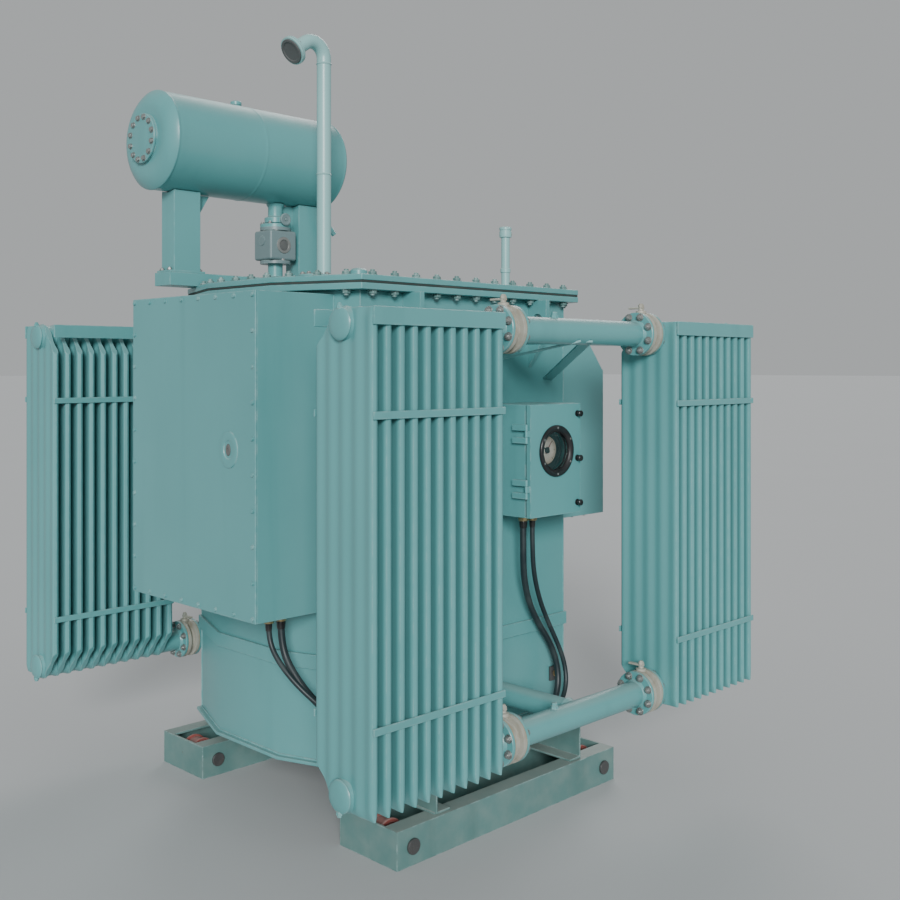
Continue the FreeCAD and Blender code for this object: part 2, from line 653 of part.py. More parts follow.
def strut(turn, way):
    """Flat bar from under the upper T down to the long wall."""
    top_level = HEADER_LEVELS[1] - PIPE_RADIUS
    head = Vector(BRANCH_CENTRE + turn * STRUT_WIDTH, way * RADIATOR_AXIS, top_level)
    foot = Vector(BRANCH_CENTRE + turn * STRUT_SPREAD, way * TANK_HALF_WIDTH, STRUT_FOOT_LEVEL)
    along = (foot - head).normalize()
    across = along.cross(Z_AXIS).normalize()
    up = across.cross(along).normalize()
    half = across * (STRUT_WIDTH / 2)
    start, end = head - along * STRUT_WIDTH, foot + along * STRUT_WIDTH
    outline = [start - half, start + half, end + half, end - half]
    bar = prism([tuple(point) for point in outline], tuple(up * STRUT_THICK))
    space = box((-TANK_SIDE_FLAT, TANK_SIDE_FLAT),
                (way * TANK_HALF_WIDTH, way * (RADIATOR_AXIS + PIPE_RADIUS)),
                (STRUT_FOOT_LEVEL - LUG_HEIGHT, HEADER_LEVELS[1]))
    pipe = rod((-TANK_SIDE_FLAT, way * RADIATOR_AXIS, HEADER_LEVELS[1]), X_AXIS,
               PIPE_RADIUS, 2 * TANK_SIDE_FLAT)
    stub = rod((BRANCH_CENTRE, way * TANK_HALF_WIDTH, HEADER_LEVELS[1]), Y_AXIS * way,
               STUB_RADIUS, RADIATOR_AXIS - TANK_HALF_WIDTH)
    trimmed = bar.common(space).cut(fuse(pipe, stub))
    return max(trimmed.Solids, key=lambda solid: solid.Volume)


# ---- conservator ---------------------------------------------------------------------
def conservator_parts():
    """Oil conservator on its legs, with the relay and pipe down to the cover."""
    start = (CONSERVATOR_LEFT, CONSERVATOR_AXIS, CONSERVATOR_LEVEL)
    length = CONSERVATOR_RIGHT - CONSERVATOR_LEFT
    drum = rod(start, X_AXIS, CONSERVATOR_RADIUS, length)
    shell = tube(start, X_AXIS, CONSERVATOR_RADIUS, CONSERVATOR_WALL, length)
    relay_bore = rod((RELAY_X, CONSERVATOR_AXIS, COVER_TOP), Z_AXIS,
                     RELAY_PIPE_RADIUS, CONSERVATOR_LEVEL - COVER_TOP)
    shell = shell.cut(relay_bore)
    crown = CONSERVATOR_LEVEL + math.sqrt(CONSERVATOR_RADIUS ** 2 - FILLER_RADIUS ** 2)
    filler = rod((FILLER_X, CONSERVATOR_AXIS, crown - CONSERVATOR_WALL), Z_AXIS, FILLER_RADIUS,
                 FILLER_HEIGHT).cut(drum)
    rail = box((RAIL_LEFT, RAIL_RIGHT),
               (CONSERVATOR_AXIS - RAIL_WIDTH / 2, CONSERVATOR_AXIS + RAIL_WIDTH / 2),
               (COVER_TOP, COVER_TOP + RAIL_HEIGHT))
    foot_hole = rod((RELAY_X, CONSERVATOR_AXIS, COVER_TOP), Z_AXIS, FOOT_FLANGE_RADIUS + SHEET,
                    RAIL_HEIGHT)
    cover_x = CONSERVATOR_LEFT - END_DISH
    return {
        "conservator_shell": shell,
        "conservator_ends": Part.makeCompound([dished_end(CONSERVATOR_LEFT, -1),
                                               dished_end(CONSERVATOR_RIGHT, 1)]),
        "conservator_end_cover": rod((cover_x, CONSERVATOR_AXIS, CONSERVATOR_LEVEL), X_AXIS * -1,
                                     END_COVER_RADIUS, END_COVER_THICK),
        "filler_cap": filler,
        "conservator_rail": rail.cut(foot_hole),
        "conservator_legs": Part.makeCompound([leg(x, drum) for x in LEG_X]),
        "buchholz_relay": relay(),
        "buchholz_pipe": relay_pipe(),
    }


def dished_end(at, turn):
    """Flat-crowned end, coned out from the shell's edge."""
    centre = (at, CONSERVATOR_AXIS, CONSERVATOR_LEVEL)
    cone = Part.makeCone(CONSERVATOR_RADIUS, END_CROWN_RADIUS, END_DISH,
                         Vector(*centre), X_AXIS * turn)
    hollow = Part.makeCone(CONSERVATOR_RADIUS - CONSERVATOR_WALL, END_CROWN_RADIUS,
                           END_DISH - CONSERVATOR_WALL, Vector(*centre), X_AXIS * turn)
    return cone.cut(hollow)


def leg(x, drum):
    """Folded-plate leg from the rail up to the shell."""
    low = COVER_TOP + RAIL_HEIGHT
    y = (CONSERVATOR_AXIS - LEG_DEPTH / 2, CONSERVATOR_AXIS + LEG_DEPTH / 2)
    span = (x - LEG_LENGTH / 2, x + LEG_LENGTH / 2)
    body = box(span, y, (low, CONSERVATOR_LEVEL)).cut(
        box((span[0] + LEG_WALL, span[1] - LEG_WALL), (y[0] + LEG_WALL, y[1] - LEG_WALL),
            (low, CONSERVATOR_LEVEL)))
    return body.cut(drum)


def relay():
    """Gas relay: a cast box with a round flange above and below."""
    x = (RELAY_X - RELAY_LENGTH / 2, RELAY_X + RELAY_LENGTH / 2)
    y = (CONSERVATOR_AXIS - RELAY_DEPTH / 2, CONSERVATOR_AXIS + RELAY_DEPTH / 2)
    top = RELAY_LOW + RELAY_HEIGHT
    axis = (RELAY_X, CONSERVATOR_AXIS)
    return fuse(box(x, y, (RELAY_LOW, top)),
                rod((*axis, RELAY_LOW), Z_AXIS * -1, RELAY_FLANGE_RADIUS, RELAY_FLANGE_THICK),
                rod((*axis, top), Z_AXIS, RELAY_FLANGE_RADIUS, RELAY_FLANGE_THICK))


def relay_pipe():
    """Pipe from the cover to the relay, and on through a valve to the conservator."""
    axis = (RELAY_X, CONSERVATOR_AXIS)
    relay_foot = RELAY_LOW - RELAY_FLANGE_THICK
    relay_head = RELAY_LOW + RELAY_HEIGHT + RELAY_FLANGE_THICK
    shell_low = CONSERVATOR_LEVEL - math.sqrt(CONSERVATOR_RADIUS ** 2 - RELAY_PIPE_RADIUS ** 2)
    lower = fuse(rod((*axis, COVER_TOP), Z_AXIS, RELAY_PIPE_RADIUS, relay_foot - COVER_TOP),
                 rod((*axis, COVER_TOP), Z_AXIS, FOOT_FLANGE_RADIUS, FOOT_FLANGE_THICK))
    upper = fuse(rod((*axis, relay_head), Z_AXIS, RELAY_PIPE_RADIUS, shell_low - relay_head),
                 rod((*axis, relay_head), Z_AXIS, RELAY_FLANGE_RADIUS, RELAY_FLANGE_THICK),
                 rod((*axis, relay_head + RELAY_FLANGE_THICK), Z_AXIS, FEED_VALVE_RADIUS,
                     (shell_low - relay_head) / 3))
    return Part.makeCompound([lower, upper])


# ---- cover fittings ------------------------------------------------------------------
def fitting_parts():
    """Explosion vent, thermometer pocket, air hood and drain valve."""
    pipe, mouth, pane = vent()
    pocket_at = (POCKET_X, POCKET_Y)
    pocket_top = COVER_TOP + POCKET_HEIGHT
    return {
        "vent_pipe": fuse(pipe, mouth),
        "vent_diaphragm": pane,
        "thermometer_pocket": fuse(
            rod((*pocket_at, COVER_TOP), Z_AXIS, POCKET_RADIUS, POCKET_HEIGHT),
            rod((*pocket_at, COVER_TOP), Z_AXIS, POCKET_FLANGE_RADIUS, FOOT_FLANGE_THICK),
            rod((*pocket_at, pocket_top), Z_AXIS, POCKET_CAP_RADIUS, POCKET_CAP_HEIGHT)),
        "air_release_hood": fuse(
            rod((HOOD_X, HOOD_Y, COVER_TOP), Z_AXIS, HOOD_RADIUS, HOOD_HEIGHT),
            rod((HOOD_X, HOOD_Y, COVER_TOP), Z_AXIS, HOOD_FLANGE_RADIUS, FOOT_FLANGE_THICK)),
        "drain_valve": drain_valve(),
    }


def vent():
    """Slim standpipe that turns over to -X and down, its mouth flange and diaphragm."""
    foot = Vector(VENT_X, 0, COVER_TOP)
    knee = Vector(VENT_X, 0, VENT_TOP - VENT_BEND_RADIUS)
    centre = knee - X_AXIS * VENT_BEND_RADIUS
    sweep = math.radians(90 + VENT_DROP_ANGLE)

    def on_bend(angle):
        """Point on the bend's centre line at an angle from the standpipe."""
        return centre + Vector(math.cos(angle), 0, math.sin(angle)) * VENT_BEND_RADIUS

    bend_end = on_bend(sweep)
    heading = Vector(-math.sin(sweep), 0, math.cos(sweep))
    tip = bend_end + heading * VENT_SPOUT
    path = Part.Wire([Part.makeLine(foot, knee),
                      Part.Arc(knee, on_bend(sweep / 2), bend_end).toShape(),
                      Part.makeLine(bend_end, tip)])
    ring = Part.Wire([Part.makeCircle(VENT_RADIUS, foot, Z_AXIS)])
    pipe = path.makePipeShell([ring], True, False)
    flange = Part.makeCylinder(FOOT_FLANGE_RADIUS, FOOT_FLANGE_THICK, foot, Z_AXIS)
    mouth = Part.makeCylinder(VENT_MOUTH_RADIUS, VENT_MOUTH_THICK, tip, heading)
    pane = Part.makeCylinder(VENT_MOUTH_RADIUS - DIAPHRAGM_THICK, DIAPHRAGM_THICK,
                             tip + heading * VENT_MOUTH_THICK, heading)
    return fuse(pipe, flange), mouth, pane


def drain_valve():
    """Flanged gate valve low on the +X end, its outlet open and its handwheel on top."""
    wall_at = (TANK_HALF_LENGTH, 0, DRAIN_LEVEL)
    body_at = (TANK_HALF_LENGTH + DRAIN_REACH, 0, DRAIN_LEVEL)
    end = TANK_HALF_LENGTH + DRAIN_REACH + DRAIN_BODY_LENGTH
    middle = (TANK_HALF_LENGTH + DRAIN_REACH + DRAIN_BODY_LENGTH / 2, 0, DRAIN_LEVEL)
    wheel_at = (middle[0], 0, DRAIN_LEVEL + DRAIN_BONNET_HEIGHT)
    return fuse(rod(wall_at, X_AXIS, DRAIN_PIPE_RADIUS, DRAIN_REACH),
                rod(body_at, X_AXIS, DRAIN_BODY_RADIUS, DRAIN_BODY_LENGTH),
                rod(body_at, X_AXIS, DRAIN_FLANGE_RADIUS, DRAIN_FLANGE_THICK),
                rod((end, 0, DRAIN_LEVEL), X_AXIS * -1, DRAIN_FLANGE_RADIUS, DRAIN_FLANGE_THICK),
                rod(middle, Z_AXIS, DRAIN_BONNET_RADIUS, DRAIN_BONNET_HEIGHT),
                rod(wheel_at, Z_AXIS, HANDWHEEL_RADIUS, HANDWHEEL_THICK))


# ---- control cables ------------------------------------------------------------------
def cable_parts():
    """Two control cables from the marshalling box to the low-voltage box, and their glands."""
    parts, glands = {}, []
    for name, (radius, route) in CABLES.items():
        parts[name] = bent_tube(route, radius)
        first, last = route[0], route[-1]
        glands.append(rod((*first[:2], CABINET_LOW - CABINET_GLAND_LENGTH), Z_AXIS,
                          CABINET_GLAND_RADIUS, CABINET_GLAND_LENGTH))
        glands.append(rod((*last[:2], LV_BOX_LOW - BOX_GLAND_LENGTH), Z_AXIS,
                          BOX_GLAND_RADIUS, BOX_GLAND_LENGTH))
    parts["cable_glands"] = Part.makeCompound(glands)
    return parts


def build():
    """All the nodes, by name."""
    parts = {}
    parts.update(base_parts())
    parts.update(tank_parts())
    parts.update(cable_box("lv", -1, LV_BOX_REACH, LV_BOX_HALF_WIDTH, LV_BOX_LOW, LV_BOX_HIGH,
                           0, 0, CONTROL_STRIP))
    parts.update(cable_box("hv", 1, HV_BOX_REACH, HV_BOX_HALF_WIDTH, HV_BOX_LOW, HV_BOX_HIGH,
                           HV_BOX_SLOPE_RUN, HV_BOX_SLOPE_DROP, 0))
    parts.update(cabinet_parts())
    parts.update(radiator_parts())
    parts.update(manifold_parts())
    parts.update(conservator_parts())
    parts.update(fitting_parts())
    parts.update(cable_parts())
    return parts


os.makedirs("parts", exist_ok=True)
for name, shape in build().items():
    shape.exportStep(f"parts/{name}.step")
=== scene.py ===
"""Looks of an oil-filled power transformer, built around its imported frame.

Lengths are metres. +X runs along the tank, -Y is the front and +Z is up.
"""
import json
import logging
import math
from dataclasses import dataclass, field
from enum import Enum

import bmesh
import bpy
from mathutils import Matrix, Vector

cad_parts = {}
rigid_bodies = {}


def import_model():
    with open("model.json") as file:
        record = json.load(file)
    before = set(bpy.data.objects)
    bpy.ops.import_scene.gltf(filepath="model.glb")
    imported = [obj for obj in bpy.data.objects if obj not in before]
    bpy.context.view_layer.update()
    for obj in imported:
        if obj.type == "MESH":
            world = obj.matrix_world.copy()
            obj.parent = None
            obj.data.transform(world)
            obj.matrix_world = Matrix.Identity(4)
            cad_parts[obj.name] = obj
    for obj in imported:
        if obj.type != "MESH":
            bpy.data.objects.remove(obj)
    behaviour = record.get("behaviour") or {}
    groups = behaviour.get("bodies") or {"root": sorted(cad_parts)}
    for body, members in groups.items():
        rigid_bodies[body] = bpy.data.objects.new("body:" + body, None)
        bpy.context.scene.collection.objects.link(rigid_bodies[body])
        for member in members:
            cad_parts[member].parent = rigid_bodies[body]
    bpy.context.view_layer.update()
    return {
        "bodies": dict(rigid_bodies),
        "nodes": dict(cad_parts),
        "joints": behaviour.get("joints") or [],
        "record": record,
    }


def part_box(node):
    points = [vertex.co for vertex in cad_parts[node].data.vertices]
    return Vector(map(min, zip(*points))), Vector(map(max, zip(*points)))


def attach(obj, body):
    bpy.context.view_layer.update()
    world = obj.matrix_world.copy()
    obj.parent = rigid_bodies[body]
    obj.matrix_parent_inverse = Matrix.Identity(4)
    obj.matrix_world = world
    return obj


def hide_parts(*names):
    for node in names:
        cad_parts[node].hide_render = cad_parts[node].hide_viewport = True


LOG = logging.getLogger("transformer")
Point = tuple[float, float, float]
Colour = tuple[float, float, float]
Piece = bpy.types.Object
Profile = list[tuple[float, float]]
FULL_TURN = 2 * math.pi
UP, DOWN, FORWARD, ALONG = (0, 0, 1), (0, 0, -1), (0, -1, 0), (1, 0, 0)
MERGE = 1e-5
GREEN_SLOT = "sea_green_paint"


class Side(Enum):
    """Ends of the tank, with the way they lie along X."""

    LEFT = ("left", -1)
    RIGHT = ("right", 1)

    @property
    def word(self) -> str:
        """The side's word in node names."""
        return self.value[0]

    @property
    def way(self) -> int:
        """The side's sign along X."""
        return self.value[1]


class Face(Enum):
    """Long sides of the tank, with the way they lie along Y."""

    FRONT = ("front", -1)
    REAR = ("rear", 1)

    @property
    def word(self) -> str:
        """The face's word in node names."""
        return self.value[0]

    @property
    def way(self) -> int:
        """The face's sign along Y."""
        return self.value[1]


# ---- shader maths --------------------------------------------------------------------
class Signal:
    """A shader socket that takes part in Python arithmetic."""

    def __init__(self, graph: "Graph", socket: bpy.types.NodeSocket) -> None:
        """Wrap a socket of a graph."""
        self.graph = graph
        self.socket = socket

    def _maths(self, operation: str, first: object, second: object = 0.0) -> "Signal":
        """Add one Math node.

        Args:
            operation: The node's operation.
            first: The first operand, a Signal or a number.
            second: The second operand, a Signal or a number.

        Returns:
            The node's output.
        """
        return self.graph.add("ShaderNodeMath", {"operation": operation}, {0: first, 1: second})

    def __add__(self, other: object) -> "Signal":
        """Sum."""
        return self._maths("ADD", self, other)

    __radd__ = __add__

    def __mul__(self, other: object) -> "Signal":
        """Product."""
        return self._maths("MULTIPLY", self, other)

    __rmul__ = __mul__

    def __sub__(self, other: object) -> "Signal":
        """Difference."""
        return self._maths("SUBTRACT", self, other)

    def __rsub__(self, other: object) -> "Signal":
        """Difference from a number."""
        return self._maths("SUBTRACT", other, self)

    def rise(self, low: float, high: float) -> "Signal":
        """Smooth step from 0 at low to 1 at high."""
        return self.graph.add("ShaderNodeMapRange",
                              {"interpolation_type": "SMOOTHSTEP", "clamp": True},
                              {"Value": self, "From Min": low, "From Max": high})


class Graph:
    """A material's nodes, all made by one method."""

    def __init__(self, name: str) -> None:
        """Start an empty material."""
        self.material = bpy.data.materials.new(name)
        self.material.use_nodes = True
        self.tree = self.material.node_tree
        self.tree.nodes.clear()
        self.output = self.tree.nodes.new("ShaderNodeOutputMaterial")

    def add(self, kind: str, settings: dict | None = None, inputs: dict | None = None,
            output: int | str = 0) -> Signal:
        """Make a node.

        Args:
            kind: The node's type.
            settings: Properties to set first.
            inputs: Values or Signals for its sockets, by name or number.
            output: Which output to return.

        Returns:
            That output as a Signal.
        """
        node = self.tree.nodes.new(kind)
        for key, value in (settings or {}).items():
            setattr(node, key, value)
        for key, value in (inputs or {}).items():
            if isinstance(value, Signal):
                self.tree.links.new(value.socket, node.inputs[key])
            else:
                node.inputs[key].default_value = value
        return Signal(self, node.outputs[output])

    def coordinates(self, scale: Point = (1, 1, 1)) -> Signal:
        """Object coordinates, stretched by a scale."""
        place = self.add("ShaderNodeTexCoord", output="Object")
        return self.add("ShaderNodeMapping", {}, {"Vector": place, "Scale": scale})

    def noise(self, scale: float, detail: float = 3, stretch: Point = (1, 1, 1)) -> Signal:
        """Fractal noise from 0 to 1."""
        return self.add("ShaderNodeTexNoise", {},
                        {"Vector": self.coordinates(stretch), "Scale": scale, "Detail": detail})

    def blend(self, amount: object, first: object, second: object) -> Signal:
        """Mix two colours.

        Args:
            amount: How much of the second, a Signal or a number.
            first: A colour or a Signal.
            second: A colour or a Signal.

        Returns:
            The mixed colour.
        """
        def full(colour: object) -> object:
            """A colour with its alpha."""
            return colour if isinstance(colour, Signal) else (*colour, 1)
        return self.add("ShaderNodeMix", {"data_type": "RGBA"},
                        {0: amount, 6: full(first), 7: full(second)}, output=2)

    def facing_up(self) -> Signal:
        """The surface normal's height, from -1 to 1."""
        normal = self.add("ShaderNodeNewGeometry", output="Normal")
        return self.add("ShaderNodeSeparateXYZ", {}, {0: normal}, output="Z")

    def height(self) -> Signal:
        """Height above the floor in metres."""
        return self.add("ShaderNodeSeparateXYZ", {}, {0: self.coordinates()}, output="Z")

    def finish(self, inputs: dict) -> bpy.types.Material:
        """Close the graph with a Principled shader that has these inputs.

        Args:
            inputs: Values or signals for the shader's inputs, by name.

        Returns:
            The material.
        """
        shader = self.add("ShaderNodeBsdfPrincipled", {}, inputs)
        self.tree.links.new(shader.socket, self.output.inputs["Surface"])
        return self.material


# ---- finishes ------------------------------------------------------------------------
@dataclass(frozen=True)
class Enamel:
    """Brushed or sprayed enamel on steel, with dust, streaks, and lighter edges that are partly
    rubbed wear and partly painted highlight.
    """

    name: str
    colour: Colour
    deep: Colour
    dust: Colour = (0.40, 0.42, 0.38)
    # Edge colour: rubbed paint and a painted edge highlight together.
    worn: Colour = (0.40, 0.56, 0.55)
    roughness: float = 0.34
    dust_share: float = 0.35
    wear_share: float = 0.5
    edge_radius: float = 0.0015
    wear_reach: float = 0.007
    bare: Colour = (0.13, 0.10, 0.08)
    wave_depth: float = 0.0048
    skin_depth: float = 0.0004

    def make(self) -> bpy.types.Material:
        """Build the material."""
        graph = Graph(self.name)
        cloud = graph.noise(1.7, 4)
        streak = graph.noise(9, 5, (1, 1, 0.07))
        speck = graph.noise(70, 4)
        tone = graph.blend((cloud - 0.35) * 1.1, self.colour, self.deep)
        tone = graph.blend(streak.rise(0.52, 0.78) * 0.42, tone, self.deep)
        up = graph.facing_up().rise(0.45, 0.95)
        low = 1 - graph.height().rise(0.02, 0.5)
        settled = (up * 0.7 + low * 0.28 * graph.noise(14, 5).rise(0.3, 0.8)) * self.dust_share
        tone = graph.blend(settled, tone, self.dust)
        rounded = graph.add("ShaderNodeBevel", {"samples": 3}, {"Radius": self.edge_radius})
        # Lighter colour along edges: partly rubbed wear, partly painted edge highlight.
        wide = graph.add("ShaderNodeBevel", {"samples": 3}, {"Radius": self.wear_reach})
        plain = graph.add("ShaderNodeNewGeometry", output="Normal")
        turned = graph.add("ShaderNodeVectorMath", {"operation": "DOT_PRODUCT"},
                           {0: wide, 1: plain}, output="Value")
        edge = (1 - turned).rise(0.015, 0.16) * graph.noise(26, 5).rise(0.40, 0.60)
        tone = graph.blend(edge * self.wear_share, tone, self.worn)
        chip = graph.noise(38, 6).rise(0.735, 0.75) * low.rise(0.1, 0.6)
        tone = graph.blend(chip * 0.7, tone, self.bare)
        wave = graph.add("ShaderNodeBump", {}, {"Strength": 1.0, "Distance": self.wave_depth,
                                               "Height": graph.noise(2.6, 1), "Normal": rounded})
        skin = graph.add("ShaderNodeBump", {}, {"Strength": 0.35, "Distance": self.skin_depth,
                                               "Height": graph.noise(330, 2), "Normal": wave})
        roughness = self.roughness + (speck - 0.5) * 0.12 + settled * 0.4
        return graph.finish({"Base Color": tone, "Roughness": roughness, "Normal": skin,
                             "Coat Weight": 0.12, "Coat Roughness": 0.25})


@dataclass(frozen=True)
class Metal:
    """Bare or aluminium-painted metal with grime in its tone."""

    name: str
    colour: Colour
    grime: Colour
    metallic: float = 0.8
    roughness: float = 0.42
    grain: float = 60

    def make(self) -> bpy.types.Material:
        """Build the material."""
        graph = Graph(self.name)
        patch = graph.noise(self.grain * 0.25, 4)
        fine = graph.noise(self.grain * 4, 3)
        dirty = patch.rise(0.42, 0.72)
        tone = graph.blend(dirty * 0.7, self.colour, self.grime)
        rounded = graph.add("ShaderNodeBevel", {"samples": 4}, {"Radius": 0.0012})
        skin = graph.add("ShaderNodeBump", {}, {"Strength": 0.4, "Distance": 0.0004,
                                                "Height": fine, "Normal": rounded})
        return graph.finish({"Base Color": tone, "Metallic": self.metallic * (1 - dirty * 0.5),
                             "Roughness": self.roughness + dirty * 0.3 + (fine - 0.5) * 0.15,
                             "Normal": skin})


@dataclass(frozen=True)
class Moulded:
    """Rubber, plastic or cable sheath."""

    name: str
    colour: Colour
    dusty: Colour
    roughness: float = 0.5
    grain: float = 300

    def make(self) -> bpy.types.Material:
        """Build the material."""
        graph = Graph(self.name)
        cloud = graph.noise(12, 4).rise(0.45, 0.75)
        fine = graph.noise(self.grain, 2)
        tone = graph.blend(cloud * 0.5, self.colour, self.dusty)
        skin = graph.add("ShaderNodeBump", {}, {"Strength": 0.3, "Distance": 0.0003,
                                                "Height": fine})
        return graph.finish({"Base Color": tone, "Normal": skin,
                             "Roughness": self.roughness + cloud * 0.2 + (fine - 0.5) * 0.1})


@dataclass(frozen=True)
class ClearGlass:
    """Window glass with a little dust on it."""

    name: str = "window_glass"

    def make(self) -> bpy.types.Material:
        """Build the material."""
        graph = Graph(self.name)
        haze = graph.noise(22, 4).rise(0.4, 0.8)
        return graph.finish({"Base Color": (0.93, 0.97, 0.96, 1), "Roughness": haze * 0.1 + 0.03,
                             "Transmission Weight": 1.0, "IOR": 1.45})


@dataclass(frozen=True)
class DialCard:
    """Printed cream card of the temperature gauge, darkened towards its rim by painted shade from
    the housing, with mottled stains.
    """

    centre: Point
    radius: float
    name: str = "dial_card"

    def make(self) -> bpy.types.Material:
        """Build the material."""
        graph = Graph(self.name)
        place = graph.add("ShaderNodeTexCoord", output="Object")
        away = graph.add("ShaderNodeVectorMath", {"operation": "DISTANCE"},
                         {0: place, 1: self.centre}, output="Value")
        # Painted shade: the card darkens to brown towards its rim, where the housing's rim shades
        # it; the noise adds real stains.
        rim = away.rise(self.radius * 0.40, self.radius)
        rim_shade_and_stain = rim * 0.7 + graph.noise(60, 4) * 0.2
        tone = graph.blend(rim_shade_and_stain, (0.80, 0.70, 0.62), (0.44, 0.30, 0.20))
        return graph.finish({"Base Color": tone, "Roughness": 0.6 + graph.noise(90, 3) * 0.15})


SEA_GREEN = Enamel("sea_green_paint", (0.112, 0.335, 0.340), (0.080, 0.262, 0.265))
PALE_GREEN = Enamel("pale_green_paint", (0.270, 0.500, 0.495), (0.215, 0.430, 0.425),
                    wear_share=0.3)
BASE_GREEN = Enamel("base_paint", (0.100, 0.215, 0.205), (0.058, 0.130, 0.122), roughness=0.42,
                    dust_share=0.6, wear_share=0.7)
OXIDE_RED = Enamel("oxide_red_paint", (0.270, 0.055, 0.045), (0.140, 0.030, 0.028),
                   worn=(0.32, 0.27, 0.24), roughness=0.62, wear_share=0.8)
RELAY_GREY = Enamel("relay_grey", (0.160, 0.235, 0.245), (0.09, 0.14, 0.15), roughness=0.4)
VALVE_GREY = Metal("valve_grey", (0.44, 0.44, 0.38), (0.25, 0.22, 0.16), 0.25, 0.5, 90)
BOLT_STEEL = Metal("bolt_steel", (0.36, 0.37, 0.36), (0.12, 0.13, 0.12), 0.85, 0.4, 160)
AXLE_STEEL = Metal("axle_steel", (0.14, 0.14, 0.14), (0.05, 0.045, 0.04), 0.8, 0.45, 120)
BRASS = Metal("gland_brass", (0.55, 0.43, 0.22), (0.28, 0.22, 0.13), 0.9, 0.35, 140)
TAN_GASKET = Moulded("tan_gasket", (0.38, 0.24, 0.12), (0.50, 0.36, 0.20), 0.85, 220)
# Near-black cover gasket: its colour is painted shade of the band under the cover's rim.
RIM_GASKET_PAINTED_SHADE = Moulded("cover_gasket", (0.030, 0.045, 0.042), (0.07, 0.08, 0.07), 0.8, 200)
BLACK_PLASTIC = Moulded("black_plastic", (0.012, 0.012, 0.013), (0.05, 0.05, 0.05), 0.28, 500)
CABLE_SHEATH = Moulded("cable_sheath", (0.012, 0.024, 0.028), (0.05, 0.07, 0.07), 0.45, 400)
DIAPHRAGM = Moulded("diaphragm_dark", (0.085, 0.09, 0.09), (0.16, 0.16, 0.15), 0.6, 150)
MATT_BLACK = Moulded("matt_black", (0.006, 0.006, 0.007), (0.016, 0.016, 0.015), 0.78, 500)
TERMINAL_CREAM = Moulded("terminal_cream", (0.46, 0.44, 0.36), (0.30, 0.28, 0.22), 0.5, 260)
Finish = Enamel | Metal | Moulded | ClearGlass | DialCard


@dataclass
class Paintbox:
    """Makes each finish once."""

    made: dict[str, bpy.types.Material] = field(default_factory=dict)

    def get(self, finish: Finish) -> bpy.types.Material:
        """The material of a finish."""
        if finish.name not in self.made:
            self.made[finish.name] = finish.make()
        return self.made[finish.name]

    def dress(self, piece: Piece, *finishes: Finish) -> None:
        """Give a piece its finishes, one per material slot."""
        piece.data.materials.clear()
        for finish in finishes:
            piece.data.materials.append(self.get(finish))


